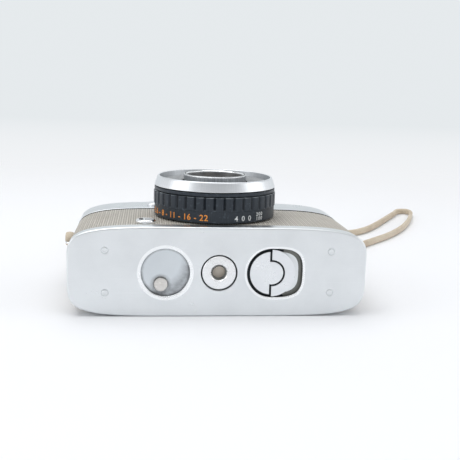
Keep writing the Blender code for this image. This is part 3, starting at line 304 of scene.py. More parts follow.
def clear_glass(name):
    """Clear moulded plastic with faint wipe marks."""
    n = Nodes(name)
    wipe = n.noise(200, n.stretch(1, 1, 3), detail=4)
    return n.surface((0.97, 0.98, 0.98), n.span(wipe, 0.4, 0.8, 0.02, 0.09),
                     n.bump(wipe, 0.01 * MM, 0.2), 0.0, Transmission_Weight=1.0, IOR=1.2)


def paint(name, colour, dark):
    """Lettering fill with slightly uneven, partly worn paint."""
    n = Nodes(name)
    wear = n.noise(1800, detail=4, rough=0.7)
    tone = n.blend(n.span(wear, 0.5, 0.7, 0.0, 0.7), colour, dark)
    return n.surface(tone, n.span(wear, 0.3, 0.7, 0.45, 0.65), n.bump(wear, 0.02 * MM, 0.5))


BASE_DENTS = (((-5.0, -33.0, 27.2), 3.0, 0.05), ((8.0, -33.0, 31.0), 3.6, 0.04),
              ((36.0, -33.0, 12.0), 5.0, 0.05), ((-38.0, -33.0, 20.0), 6.0, 0.05),
              ((-52.0, -33.0, 16.0), 5.0, 0.04), ((49.0, -33.0, 20.0), 6.0, 0.04))
SATIN = worn_metal("satin_plate", (0.76, 0.785, 0.80), (0.67, 0.695, 0.71), 0.30, 2600, 0.012 * MM,
                   dents=BASE_DENTS)
SATIN_TOP = worn_metal("satin_cover", (0.72, 0.75, 0.77), (0.62, 0.64, 0.67), 0.27, 2600,
                       0.012 * MM)
KEY_METAL = worn_metal("key_plate", (0.80, 0.82, 0.84), (0.70, 0.72, 0.75), 0.26, 2200, 0.012 * MM)
BRIGHT = worn_metal("bright_plate", (0.86, 0.87, 0.88), (0.70, 0.71, 0.73), 0.14, 1500, 0.004 * MM)
SEAT = worn_metal("bushing_plate", (0.84, 0.85, 0.86), (0.66, 0.65, 0.62), 0.22, 1500, 0.02 * MM,
                  scratch=0.5)
DULL = worn_metal("plain_alloy", (0.40, 0.41, 0.42), (0.28, 0.28, 0.28), 0.42, 1800, 0.03 * MM)
CASTING = worn_metal("blackened_casting", (0.05, 0.05, 0.055), (0.12, 0.12, 0.12), 0.55, 900,
                     0.06 * MM)
# black steel; in the key recess and on the top cover's seam face it is painted shade
BLACK_STEEL_AND_SHADE = worn_metal("blackened_steel_and_painted_shade", (0.035, 0.04, 0.045), (0.08, 0.085, 0.09), 0.5, 1800,
                        0.03 * MM)
# a darker copy of the plate for recess walls and the tripod thread: painted shade
SHADED = worn_metal("painted_shade_wall", (0.16, 0.165, 0.155), (0.30, 0.30, 0.27), 0.42, 1800,
                    0.03 * MM)
# painted shade in the dish: in its corner, round the release's dimple and across its far side
DISH_PLATE = dirty_plate("dish_plate", (0.66, 0.70, 0.73),
                         ((-21.6, 18.1, 8.7, 9.7, 0.75), (-23.4, 13.0, 4.6, 2.9, 0.55),
                          (-26.5, 24.0, 11.0, 15.0, 0.6)))
# the tripod hole's bottom is made pale so it reads lit down the hole: painted light
PALE_LIT_HOLE_FLOOR = moulded("hole_bottom", (0.82, 0.73, 0.62), (0.90, 0.84, 0.76), 0.7)
# a paler plate for the pressed lips: rubbed wear with a painted highlight
LIP_HIGHLIGHT = worn_metal("rubbed_lip_painted_highlight", (0.93, 0.945, 0.955), (0.82, 0.84, 0.85), 0.24, 2200, 0.01 * MM)
BRASS = worn_metal("worn_brass", (0.62, 0.47, 0.25), (0.34, 0.26, 0.16), 0.34, 1600, 0.03 * MM)
STUD = worn_metal("worn_stud", (0.78, 0.76, 0.73), (0.46, 0.43, 0.40), 0.36, 1300, 0.12 * MM,
                  scratch=0.6)
LENS_XY = (0.0, -1.6 * MM)
BRUSHED = turned_metal("brushed_bezel", (0.86, 0.88, 0.90), (0.72, 0.745, 0.77), 0.33, 190,
                       0.02 * MM, centre=LENS_XY)
THREADED = turned_metal("threaded_ring", (0.56, 0.58, 0.60), (0.20, 0.21, 0.22), 0.34, 110,
                        0.05 * MM, centre=LENS_XY)
# a darker copy of the brushed metal for the bezel's inside: painted shade
INNER_WALL_SHADE = turned_metal("inner_wall_painted_shade", (0.44, 0.46, 0.48), (0.34, 0.355, 0.37), 0.38, 190,
                          0.02 * MM, centre=LENS_XY)
ANODISED = turned_metal("black_anodised", (0.014, 0.020, 0.028), (0.028, 0.038, 0.050), 0.36, 60,
                        0.01 * MM, metal=0.0, centre=LENS_XY, wear=(0.07, 0.09, 0.11))
GRIP = turned_metal("black_grip", (0.014, 0.020, 0.028), (0.028, 0.038, 0.050), 0.36, 60,
                    0.01 * MM, metal=0.0, centre=LENS_XY, wear=(0.07, 0.09, 0.11),
                    ribs=(25.2, 26.15, 42.0, 47.42))
BLACK = moulded("black_moulded", (0.018, 0.018, 0.020), (0.05, 0.05, 0.052), 0.42)
WELL = moulded("black_well", (0.10, 0.10, 0.10), (0.26, 0.24, 0.22), 0.30, metal=0.7)
WHITE = moulded("white_moulded", (0.72, 0.72, 0.69), (0.60, 0.59, 0.55), 0.40)
CELL = pane("light_cell", (0.10, 0.105, 0.12), 0.25)
WINDOW = pane("ribbed_window", (0.30, 0.31, 0.32), 0.32, ior=1.45, shine=0.4)
FINDER = pane("finder_glass", (0.05, 0.06, 0.075), 0.04, coat=1.0)
LENS_GLASS = pane("coated_lens", (0.035, 0.03, 0.07), 0.03, metal=0.2, coat=1.0)
COVERING = covering()
HIDE = strap_hide()
ORANGE = paint("orange_fill", (0.86, 0.30, 0.035), (0.55, 0.19, 0.03))
IVORY = paint("white_fill", (0.66, 0.68, 0.68), (0.30, 0.31, 0.31))
INK = paint("black_fill", (0.02, 0.02, 0.02), (0.06, 0.06, 0.06))
CLEAR = clear_glass("clear_cover")


# ---------------------------------------------------------------- shapes

def low(node):
    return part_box(node)[0]


def high(node):
    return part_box(node)[1]


def middle(node):
    return (low(node) + high(node)) / 2


BASE_Y = low("base_plate").y
LIP_Y = high("base_plate").y
SEAM_Y = low("top_cover").y
TOP_Y = high("top_cover").y
HALF_WIDTH = high("base_plate").x
FRONT_Z = high("base_plate").z
WIDEST = 19.9 * MM
FRONT_POWER, REAR_POWER = 5.0, 5.6
PER_QUARTER = 44
CAD_STEP = math.pi / 20
FITTING_Z = 18.1 * MM
KEY_X = 21.4 * MM
DISH_X, DISH_R = -21.6 * MM, 9.8 * MM
SPROCKET = (-23.4 * MM, 13.0 * MM)
LENS_Y = LENS_XY[1]
BUTTON = (-30.0 * MM, 21.0 * MM)
REWIND = (43.3 * MM, 17.5 * MM)
RIVET_X, RIVET_ZS, RIVET_CREASE = 45.6, (9.95, 27.2), 1.45
SHEET = 0.8 * MM


def outline(inset, steps=PER_QUARTER):
    """The body's plan outline, (x, z) points, kept inside the frame's flats."""
    points = []
    for k in range(4 * steps):
        angle = (k + 0.5) * math.pi / 2 / steps
        front = angle < math.pi
        power = FRONT_POWER if front else REAR_POWER
        depth = (FRONT_Z - WIDEST if front else WIDEST) - inset
        flat = math.cos(CAD_STEP / 2) ** (2 / power)
        c, s = math.cos(angle), math.sin(angle)
        width = HALF_WIDTH - inset
        x = math.copysign(min(abs(c) ** (2 / power) / flat, 1.0), c) * width
        z = math.copysign(min(abs(s) ** (2 / power) / flat, 1.0), s) * depth
        points.append((x, WIDEST + z))
    return points


def make(name, verts, faces, material, body=None, replaces=(), sharp=34):
    """A mesh piece from points and faces, shaded smooth but for its real corners."""
    mesh = bpy.data.meshes.new(name)
    mesh.from_pydata([tuple(v) for v in verts], [], faces)
    return dress(bpy.data.objects.new(name, mesh), material, body, replaces, sharp)


def dress(obj, material, body=None, replaces=(), sharp=34):
    if obj.name not in bpy.context.scene.collection.objects:
        bpy.context.scene.collection.objects.link(obj)
    bm = bmesh.new()
    bm.from_mesh(obj.data)
    bmesh.ops.remove_doubles(bm, verts=bm.verts, dist=0.0005 * MM)
    bmesh.ops.recalc_face_normals(bm, faces=bm.faces)
    bm.to_mesh(obj.data)
    bm.free()
    if material and not obj.data.materials:
        obj.data.materials.append(material)
    obj.data.shade_smooth()
    obj.data.set_sharp_from_angle(angle=math.radians(sharp))
    if body:
        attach(obj, body)
    if replaces:
        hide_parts(*replaces)
    return obj


def weighted(obj):
    """Keeps big flat faces flat where they meet rounded edges."""
    modifier = obj.modifiers.new("flat", "WEIGHTED_NORMAL")
    modifier.keep_sharp = True
    modifier.weight = 100
    return obj


def run_lengths(points):
    """The distance run at each point of a line."""
    lengths = [0.0]
    for a, b in zip(points, points[1:]):
        lengths.append(lengths[-1] + math.dist(a, b))
    return lengths


def bridge(faces, first, second, count):
    """Quads between two rings of points that start at these indices."""
    for k in range(count):
        n = (k + 1) % count
        faces.append((first + k, first + n, second + n, second + k))


def loft(rings, cap_start=False, cap_end=False, loop=False):
    """Points and faces through rings of equal size."""
    verts = [p for ring in rings for p in ring]
    count = len(rings[0])
    faces = []
    for k in range(len(rings) - 1):
        bridge(faces, k * count, (k + 1) * count, count)
    if loop:
        bridge(faces, (len(rings) - 1) * count, 0, count)
    if cap_start:
        faces.append(tuple(range(count)))
    if cap_end:
        faces.append(tuple(range(len(verts) - count, len(verts))))
    return verts, faces


def ring_z(radius, z, steps, centre=LENS_XY):
    return [(centre[0] + radius * math.cos(2 * math.pi * k / steps),
             centre[1] + radius * math.sin(2 * math.pi * k / steps), z) for k in range(steps)]


def ring_y(radius, y, steps, centre):
    return [(centre[0] + radius * math.cos(2 * math.pi * k / steps), y,
             centre[1] + radius * math.sin(2 * math.pi * k / steps)) for k in range(steps)]


def rounded(profile, radius, steps=4):
    """Rounds the corners of a (radius, height) profile; the ends and sharp marks stay."""
    result = [profile[0][:2]]
    for before, here, after in zip(profile, profile[1:], profile[2:]):
        r = here[2] * MM if len(here) > 2 else radius
        a, b, c = (Vector(p[:2]) for p in (before, here, after))
        reach_a, reach_c = (a - b).length, (c - b).length
        r = min(r, 0.45 * reach_a, 0.45 * reach_c)
        if r < 1e-7:
            result.append(tuple(b))
            continue
        p, q = b + (a - b) / reach_a * r, b + (c - b) / reach_c * r
        for k in range(steps + 1):
            t = k / steps
            result.append(tuple(p * (1 - t) ** 2 + b * 2 * t * (1 - t) + q * t * t))
    result.append(profile[-1][:2])
    return result


def lathe(name, profile, material, body, replaces=(), axis="Z", centre=LENS_XY,
          steps=128, soften=0.12, sharp=34, loop=True):
    """Turns an (r, h) profile in millimetres about an axis; r = 0 closes an end."""
    points = [(p[0] * MM, p[1] * MM, *p[2:]) for p in profile]
    if loop:
        points = points + [points[0], points[1]]
        points = rounded(points, soften * MM)[1:-1]
        if math.dist(points[0], points[-1]) < 1e-8:
            points = points[:-1]
    else:
        points = rounded(points, soften * MM)
    ring = ring_z if axis == "Z" else ring_y
    verts, faces = loft([ring(max(r, 0), h, steps, centre) for r, h in points], loop=loop)
    return make(name, verts, faces, material, body, replaces, sharp)


def text_mesh(name, text, size, extrude, resolution, **settings):
    """The mesh of a line of text in its own XY plane."""
    curve = bpy.data.curves.new(name, "FONT")
    curve.body = text
    curve.size = size * MM
    curve.extrude = extrude * MM
    curve.resolution_u = resolution
    for key, value in settings.items():
        setattr(curve, key, value)
    line = bpy.data.objects.new(name + "_text", curve)
    bpy.context.scene.collection.objects.link(line)
    graph = bpy.context.evaluated_depsgraph_get()
    mesh = bpy.data.meshes.new_from_object(line.evaluated_get(graph))
    bpy.data.objects.remove(line)
    mesh.materials.clear()
    return mesh


def evaluated(obj):
    """Applies an object's modifiers."""
    graph = bpy.context.evaluated_depsgraph_get()
    mesh = bpy.data.meshes.new_from_object(obj.evaluated_get(graph))
    obj.modifiers.clear()
    obj.data = mesh
    return obj


def carve(obj, *tools):
    """Cuts closed meshes out of obj, then removes them."""
    for tool in tools:
        modifier = obj.modifiers.new("cut", "BOOLEAN")
        modifier.operation = "DIFFERENCE"
        modifier.solver = "EXACT"
        modifier.object = tool
    evaluated(obj)
    for tool in tools:
        bpy.data.objects.remove(tool)
    return obj


def prism(points, y0, y1, axis="Y"):
    """A closed cutter from an outline, along Y (x, z points) or Z (x, y points)."""
    lift = (lambda p, h: (p[0], h, p[1])) if axis == "Y" else (lambda p, h: (p[0], p[1], h))
    verts, faces = loft([[lift(p, y0) for p in points], [lift(p, y1) for p in points]],
                        True, True)
    return make("cutter", verts, faces, None)


def circle(x, y, radius, steps=64):
    return [(x + radius * math.cos(2 * math.pi * (k + 0.5) / steps),
             y + radius * math.sin(2 * math.pi * (k + 0.5) / steps)) for k in range(steps)]


def round_box(x0, x1, y0, y1, radius, steps=6):
    points = []
    for cx, cy, start in ((x1 - radius, y1 - radius, 0), (x0 + radius, y1 - radius, 90),
                          (x0 + radius, y0 + radius, 180), (x1 - radius, y0 + radius, 270)):
        for k in range(steps + 1):
            a = math.radians(start + 90 * k / steps)
            points.append((cx + radius * math.cos(a), cy + radius * math.sin(a)))
    return points


def soften_edges(obj, width, segments=2, angle=50):
    bevel = obj.modifiers.new("edges", "BEVEL")
    bevel.width = width
    bevel.segments = segments
    bevel.limit_method = "ANGLE"
    bevel.angle_limit = math.radians(angle)
    bevel.harden_normals = False
    return evaluated(obj)


# ---------------------------------------------------------------- base plate

def recess_points(grow, steps=96):
    """The key's recess: a circle whose cassette side is drawn out square."""
    radius, reach, power = 10.06 * MM + grow, 12.66 * MM + grow, 3.3
    points = []
    for k in range(steps):
        a = 2 * math.pi * (k + 0.5) / steps
        c, s = math.cos(a), math.sin(a)
        if c > 0:
            x, z = reach * abs(c) ** (2 / power), math.copysign(abs(s) ** (2 / power), s) * radius
        else:
            x, z = radius * c, radius * s
        points.append((KEY_X + x, FITTING_Z + z))
    return points


def level(y, points):
    """An (x, z) outline as 3-D points at height y."""
    return [(x, y, z) for x, z in points]


def flat_with_holes(verts, faces, y, loops):
    """Fills the flat area between rings that are already in verts."""
    bm = bmesh.new()
    index = {}
    for start, count in loops:
        made = []
        for k in range(start, start + count):
            v = bm.verts.new((verts[k][0], y, verts[k][2]))
            index[v] = k
            made.append(v)
        for k in range(count):
            bm.edges.new((made[k], made[(k + 1) % count]))
    bmesh.ops.triangle_fill(bm, use_beauty=True, use_dissolve=False, edges=bm.edges[:])
    for face in bm.faces:
        faces.append(tuple(index[v] for v in face.verts))
    bm.free()


def sunk(verts, faces, rings):
    """Adds a run of rings of equal size and returns the first one's place."""
    start = len(verts)
    count = len(rings[0])
    for ring in rings:
        verts.extend(ring)
    for k in range(len(rings) - 1):
        bridge(faces, start + k * count, start + (k + 1) * count, count)
    return start, count


def lip_rings(shape, top_y, lip, steps=4, flare=0.0, sag=0.0):
    """Rings that roll over a rounded lip: shape(grow) gives the outline grown by grow.
    A flare is the gentle slope that pressing leaves round the lip."""
    rings = []
    if flare:
        for k in range(5):
            t = k / 5
            rings.append(level(top_y + sag * t * t, shape(lip + (flare - lip) * (1 - t))))
        top_y += sag
    for k in range(steps + 1):
        a = math.pi / 2 * k / steps
        rings.append(level(top_y + lip * (1 - math.cos(a)), shape(lip * (1 - math.sin(a)))))
    return rings


PLATE, SHADE, DISH, SHADOW_FLOOR, SHADOW_WALL, RUBBED_LIT_LIP = range(6)  # material slots of the base


def make_base():
    """The pressed base: rolled edge, dish, key recess and bushing hole with soft lips."""
    edge = 0.85 * MM
    sheet = SHEET
    verts, faces = [], []
    rings = [level(LIP_Y, outline(sheet)), level(LIP_Y, outline(0.08 * MM)),
             level(LIP_Y - 0.1 * MM, outline(0)), level(BASE_Y + edge, outline(0))]
    for k in range(1, 7):
        a = math.pi / 2 * k / 6
        rings.append(level(BASE_Y + edge * (1 - math.sin(a)), outline(edge * (1 - math.cos(a)))))
    start, count = sunk(verts, faces, rings)
    loops = [(start + (len(rings) - 1) * count, count)]  # the flat's edge, then its holes

    def circle_at(x, z, radius, steps):
        return lambda grow: circle(x, z, radius + grow, steps)


    # dish: lip, wall, floor that dips round the rewind release
    dish = circle_at(DISH_X, FITTING_Z, DISH_R, 128)
    floor = BASE_Y + 1.5 * MM
    rings = lip_rings(dish, BASE_Y, 0.4 * MM, 4, 1.5 * MM, 0.11 * MM)
    rings.append(level(floor - 0.35 * MM, dish(-0.06 * MM)))
    rings.append(level(floor - 0.08 * MM, dish(-0.2 * MM)))
    hole_radius = 2.95 * MM
    hole = circle(*SPROCKET, hole_radius, 128)
    rim = dish(-0.5 * MM)
    for k in range(15):
        t = (k / 14) ** 0.8
        ring = []
        for (x0, z0), (x1, z1) in zip(rim, hole):
            x, z = x0 + (x1 - x0) * t, z0 + (z1 - z0) * t
            away = math.dist((x, z), SPROCKET) - hole_radius
            dip = 0.42 * MM * math.exp(-(away / (1.0 * MM)) ** 2)
            ring.append((x, floor + dip, z))
        rings.append(ring)
    rings.append(level(floor + 0.9 * MM, hole))
    loops.append(sunk(verts, faces, rings))
    # the lips take the paler plate as a painted highlight, the dish floor its painted shade
    areas = [(len(faces) - 128 * 27, len(faces) - 128 * 18, RUBBED_LIT_LIP),
             (len(faces) - 128 * 17, len(faces), DISH)]

    # key recess: the floor and walls to the left of the key are black, as painted shade
    key_floor = BASE_Y + 1.7 * MM
    rings = lip_rings(recess_points, BASE_Y, 0.3 * MM, 4, 1.0 * MM, 0.08 * MM)
    rings.append(level(key_floor - 0.25 * MM, recess_points(-0.04 * MM)))
    rings.append(level(key_floor, recess_points(-0.3 * MM)))
    rings.append(level(key_floor, recess_points(-1.5 * MM)))
    shaft = circle(KEY_X, FITTING_Z, 2.5 * MM, 96)
    rings.append(level(key_floor, shaft))
    rings.append(level(key_floor + 0.6 * MM, shaft))
    loops.append(sunk(verts, faces, rings))
    end = len(faces)
    areas += [(end - 96 * 14, end - 96 * 5, RUBBED_LIT_LIP), (end - 96 * 5, end - 96 * 2, SHADOW_WALL),
              (end - 96 * 2, end, SHADOW_FLOOR)]

    # bushing hole
    ring = circle_at(0, FITTING_Z, 7.4 * MM, 96)
    rings = lip_rings(ring, BASE_Y, 0.2 * MM, 3, 0.7 * MM, 0.05 * MM)
    rings.append(level(BASE_Y + sheet, ring(0)))
    rings.append(level(BASE_Y + sheet, ring(1.2 * MM)))
    loops.append(sunk(verts, faces, rings))

    # staked rivets: a shallow round crease in the sheet
    for side in (-1, 1):
        for z in RIVET_ZS:
            ring = circle_at(side * RIVET_X * MM, z * MM, RIVET_CREASE * MM, 40)
            rings = lip_rings(ring, BASE_Y, 0.1 * MM, 3, 0.6 * MM, 0.04 * MM)
            rings.append(level(BASE_Y + 0.25 * MM, ring(-0.15 * MM)))
            rings.append(level(BASE_Y + 0.25 * MM, ring(-0.8 * MM)))
            loops.append(sunk(verts, faces, rings))
    flat_with_holes(verts, faces, BASE_Y, loops)

    # the inside of the tray
    sunk(verts, faces, [level(LIP_Y, outline(sheet)), level(BASE_Y + sheet, outline(sheet)),
                        level(BASE_Y + sheet, outline(sheet + 3 * MM))])
    mesh = bpy.data.meshes.new("base_cover")
    mesh.from_pydata([tuple(v) for v in verts], [], faces)
    for material in (SATIN, SHADED, DISH_PLATE, BLACK_STEEL_AND_SHADE, BLACK_STEEL_AND_SHADE, LIP_HIGHLIGHT):
        mesh.materials.append(material)
    for first, last, slot in areas:
        for face in mesh.polygons[first:last]:
            # the open floor beside the key is plain plate with a shaded edge
            turn = math.atan2(face.center.z - FITTING_Z, face.center.x - KEY_X)
            beside = abs(turn) < math.radians(64)
            open_slot = {SHADOW_FLOOR: PLATE, SHADOW_WALL: SHADE}.get(slot, slot)
            face.material_index = open_slot if beside else slot
    weighted(dress(bpy.data.objects.new("base_cover", mesh), None, "rear_cover", ["base_plate"]))


make_base()

y = BASE_Y / MM
for side, word in ((1, "right"), (-1, "left")):
    for z, end in zip(RIVET_ZS, ("rear", "front")):
        tag = word + "_" + end
        lathe("stud_" + tag, [(0, y + 0.06), (0.5, y + 0.07), (0.68, y - 0.02), (1.0, y - 0.02),
                              (1.25, y + 0.12), (1.25, y + 0.6), (0, y + 0.6)], SATIN,
              "rear_cover", ["rivet_" + tag], "Y",
              (side * RIVET_X * MM, z * MM), 40, 0.08, loop=False)

bush = lathe("tripod_seat", [(3.0, y + 8), (3.0, y + 0.55), (3.55, y), (6.55, y), (6.9, y + 0.35),
                             (6.9, y + 4.1), (5.5, y + 4.1), (5.5, y + 8)], SEAT, "camera_body",
             ["tripod_bushing"], "Y", (0, FITTING_Z), 96, 0.12)
# the thread: a turned groove down the bore in darker metal, as painted shade, with a bottom painted
# pale, as painted light
PITCH_MM, CREST, ROOT = 0.45, 2.62, 3.0
thread = []
for k in range(6):
    thread += [(ROOT, y + 0.6 + PITCH_MM * k), (CREST, y + 0.825 + PITCH_MM * k)]
thread += [(ROOT, y + 3.6)]
lathe("tripod_thread", thread, SHADED, "camera_body", (), "Y",
      (0, FITTING_Z), 64, 0.0, sharp=60, loop=False)
lathe("tripod_floor", [(0, y + 3.3), (2.9, y + 3.3), (2.9, y + 3.6), (0, y + 3.6)], PALE_LIT_HOLE_FLOOR,
      "camera_body", (), "Y", (0, FITTING_Z), 48, 0.05, loop=False)
# three nicks staked into the bushing's lip
for turn in (-112, -90, -68):
    a = math.radians(turn)
    hit = Vector((3.35 * math.cos(a), 3.35 * math.sin(a))) * MM
    tool = prism([(hit.x + r * math.cos(a + t) * MM, FITTING_Z + hit.y + r * math.sin(a + t) * MM)
                  for r, t in ((0.55, 0.0), (0.3, 1.6), (0.75, math.pi), (0.3, -1.6))],
                 BASE_Y - MM, BASE_Y + 0.35 * MM)
    carve(bush, tool)
dress(bush, SEAT)
lathe("rewind_release", [(0, y + 0.62), (1.2, y + 0.66), (2.35, y + 0.68), (2.8, y + 1.0),
                         (2.8, y + 5.5), (0, y + 5.5)], STUD, "rewind_release_button",
      ["rewind_release_button"], "Y", SPROCKET, 64, 0.25, loop=False)


# ---------------------------------------------------------------- key

def half_disc(inner, outer, start, end, bore_start, bore_end, steps=40):
    """An outline between two arcs about the key's axis."""
    points = []
    for k in range(steps + 1):
        a = math.radians(start + (end - start) * k / steps)
        points.append((KEY_X + outer * math.cos(a), FITTING_Z + outer * math.sin(a)))
    for k in range(steps + 1):
        a = math.radians(bore_start + (bore_end - bore_start) * k / steps)
        points.append((KEY_X + inner * math.cos(a), FITTING_Z + inner * math.sin(a)))
    return points


def solid_plate(name, points, y0, y1, material, body, replaces, edge=0.1 * MM):
    verts, faces = loft([level(y0, points), level(y1, points)], True, True)
    obj = make(name, verts, faces, material)
    soften_edges(obj, edge, 2, 40)
    return weighted(dress(obj, material, body, replaces))


KEY_FACE = low("key_flap").y
slit = 0.85 * MM
KEY_R, BOSS_R, FLAP_R = 8.9 * MM, 4.7 * MM, 9.7 * MM
turn_out = math.degrees(math.acos(-slit / KEY_R))
turn_in = math.degrees(math.acos(-slit / BOSS_R))
solid_plate("lock_key_top",
            half_disc(BOSS_R, KEY_R, turn_out, 360 - turn_out, -turn_in, turn_in),
            KEY_FACE, KEY_FACE + 0.9 * MM, KEY_METAL, "lock_key", ["lock_key"])
y = KEY_FACE / MM
lathe("lock_key_disc", [(0, y + 0.8), (8.75, y + 0.8), (8.9, y + 0.95), (8.9, y + 1.3),
                        (2.2, y + 1.3), (2.2, y + 3.1), (0, y + 3.1)], BLACK_STEEL_AND_SHADE, "lock_key", (),
      "Y", (KEY_X, FITTING_Z), 80, 0.05, loop=False)
solid_plate("key_flap_ring", half_disc(BOSS_R + 0.75 * MM, FLAP_R, -90, 90, 90, -90), KEY_FACE,
            KEY_FACE + 0.5 * MM, KEY_METAL, "key_flap", ["key_flap"])


# ---------------------------------------------------------------- top cover

def make_top():
    edge = 1.6 * MM
    sheet = SHEET
    rings = [level(TOP_Y - sheet, outline(edge + 0.2 * MM)),
             level(TOP_Y - edge, outline(sheet)), level(SEAM_Y, outline(sheet)),
             level(SEAM_Y, outline(0.12 * MM)), level(SEAM_Y + 0.12 * MM, outline(0)),
             level(TOP_Y - edge, outline(0))]
    for k in range(1, 9):
        a = math.pi / 2 * k / 8
        rings.append(level(TOP_Y - edge * (1 - math.sin(a)), outline(edge * (1 - math.cos(a)))))
    verts, faces = loft(rings, True, True)
    mesh = bpy.data.meshes.new("upper_cover")
    mesh.from_pydata([tuple(v) for v in verts], [], faces)
    mesh.materials.append(SATIN_TOP)
    # the sheet's edge face along the seam is black: painted shade
    mesh.materials.append(BLACK_STEEL_AND_SHADE)
    count = len(rings[0])
    for k in range(2 * count, 3 * count):
        mesh.polygons[k].material_index = 1
    cover = dress(bpy.data.objects.new("upper_cover", mesh), None)
    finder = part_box("viewfinder_window")
    grow = 0.3 * MM
    eye = middle("eyepiece_window")
    over = 3 * MM
    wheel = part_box("advance_wheel")
    wheel_mid = middle("advance_wheel")
    carve(cover,
          prism(round_box(finder[0].x - grow, finder[1].x + grow, finder[0].y - grow,
                          finder[1].y + grow, 0.5 * MM), FRONT_Z - over, FRONT_Z + over, "Z"),
          prism(circle(eye.x, eye.y, 2.9 * MM), -over, over, "Z"),
          prism(circle(wheel_mid.x, wheel_mid.z, 5.2 * MM), TOP_Y - over, TOP_Y + over),
          prism(circle(*BUTTON, 3.9 * MM), TOP_Y - over, TOP_Y + over),
          prism(circle(*REWIND, 2.5 * MM), TOP_Y - over, TOP_Y + over),
          prism(round_box(wheel_mid.x - 9 * MM, wheel_mid.x + 9 * MM, wheel[0].y - 0.3 * MM,
                          wheel[1].y + 0.3 * MM, 0.8 * MM), -over, 3 * MM, "Z"))
    soften_edges(cover, 0.1 * MM, 2, 55)
    weighted(dress(cover, SATIN_TOP, "camera_body", ["top_cover"]))


make_top()


# ---------------------------------------------------------------- leatherette

def ribbed(name, front, body, node):
    """A U-shaped strip of leatherette with one moulded rib each millimetre."""
    fine = outline(0, 900)
    z_low = low(node).z
    z_high = high(node).z
    run = [p for p in fine if (p[1] > z_low if front else p[1] < z_high)]
    run.sort(key=lambda p: math.atan2(p[1] - (z_low if front else z_high), p[0]))
    lengths = run_lengths(run)
    pitch = 0.98 * MM
    per_rib = 8
    count = int(lengths[-1] / pitch) * per_rib
    y0, y1 = low(node).y, high(node).y
    chamfer = 0.14 * MM
    back, sunken = 0.8 * MM, 0.22 * MM
    columns, rib_shading = [], []
    index = 0
    for k in range(count + 1):
        at = lengths[-1] * k / count
        while index < len(lengths) - 2 and lengths[index + 1] < at:
            index += 1
        t = (at - lengths[index]) / (lengths[index + 1] - lengths[index])
        a, b = Vector(run[index]), Vector(run[index + 1])
        p = a.lerp(b, t)
        along = (b - a).normalized()
        inward = Vector((-along.y, along.x))
        if inward.dot(Vector((0, WIDEST)) - p) < 0:
            inward = -inward
        phase = (k % per_rib) / per_rib
        rib = abs(math.sin(math.pi * phase)) ** 0.7
        face = p + inward * (sunken + 0.16 * MM * (1 - rib))
        deep = p + inward * back
        edge = p + inward * (sunken + 0.2 * MM)
        low_face = face + inward * 0.12 * MM
        tuck = p + inward * (0.76 * MM)
        columns.append([(deep.x, y0, deep.y), (edge.x, y0, edge.y),
                        (face.x, y0 + chamfer, face.y), (face.x, y1 - 1.1 * MM, face.y),
                        (low_face.x, y1 - 0.6 * MM, low_face.y), (tuck.x, y1 - 0.25 * MM, tuck.y),
                        (tuck.x, y1, tuck.y), (deep.x, y1, deep.y)])
        # the rib value sets painted shade: dark in each groove, every other rib a little darker
        which = (k // per_rib) % 2
        rib_shading.append(rib * (0.78 + 0.22 * which))
    rows = len(columns[0])
    verts, faces = loft(columns, True, True)
    mesh = bpy.data.meshes.new(name)
    mesh.from_pydata(verts, [], faces)
    mark = mesh.attributes.new("rib", "FLOAT", "POINT")
    mark.data.foreach_set("value", [s for s in rib_shading for _ in range(rows)])
    dress(bpy.data.objects.new(name, mesh), COVERING, body, [node], 50)


ribbed("front_covering", True, "camera_body", "front_leatherette")
ribbed("back_covering", False, "rear_cover", "back_leatherette")


# ---------------------------------------------------------------- lens

RING_Z = low("exposure_ring").z / MM
RING_TOP = high("exposure_ring").z / MM
COLLAR_Z = RING_TOP + 0.3
COLLAR_TOP = high("barrel_tube").z / MM
BEZEL_Z = low("front_bezel").z / MM
BEZEL_TOP = high("front_bezel").z / MM
NOSE_TOP = high("inner_ring").z / MM
RIBS = 40


def make_knurled_ring():
    """The exposure ring: a plain band for its numbers, and broad flat ribs above it."""
    per_rib = 14
    count = RIBS * per_rib
    groove_depth, groove_half = 0.9, 0.155
    knurl_low = RING_Z + 4.7
    heights = [(RING_Z, 25.85, 0), (RING_Z + 0.15, 26.0, 0), (knurl_low - 0.15, 26.0, 0),
               (knurl_low, 26.04, 0), (knurl_low + 0.18, 26.26, 0), (knurl_low + 0.5, 26.3, 0.35),
               (knurl_low + 0.75, 26.3, 0.8), (knurl_low + 1.1, 26.3, 1.0),
               (knurl_low + 3.0, 26.3, 1.0), (RING_TOP - 0.35, 26.3, 1.0),
               (RING_TOP - 0.12, 26.26, 1.0), (RING_TOP, 26.1, 1.0), (RING_TOP, 25.3, 1.0)]
    rings = [ring_z(23.35 * MM, RING_TOP * MM, count), ring_z(23.35 * MM, RING_Z * MM, count)]
    for z, radius, depth in heights:
        ring = []
        for k in range(count):
            phase = (k % per_rib) / per_rib - 0.5
            groove = max(0.0, 1 - (abs(phase) / groove_half) ** 2.4)
            r = (radius - groove_depth * groove * depth) * MM
            a = 2 * math.pi * k / count
            ring.append((LENS_XY[0] + r * math.cos(a), LENS_Y + r * math.sin(a), z * MM))
        rings.append(ring)
    verts, faces = loft(rings, loop=True)
    make("knurled_ring", verts, faces, GRIP, "exposure_ring", ["exposure_ring"],
         40)


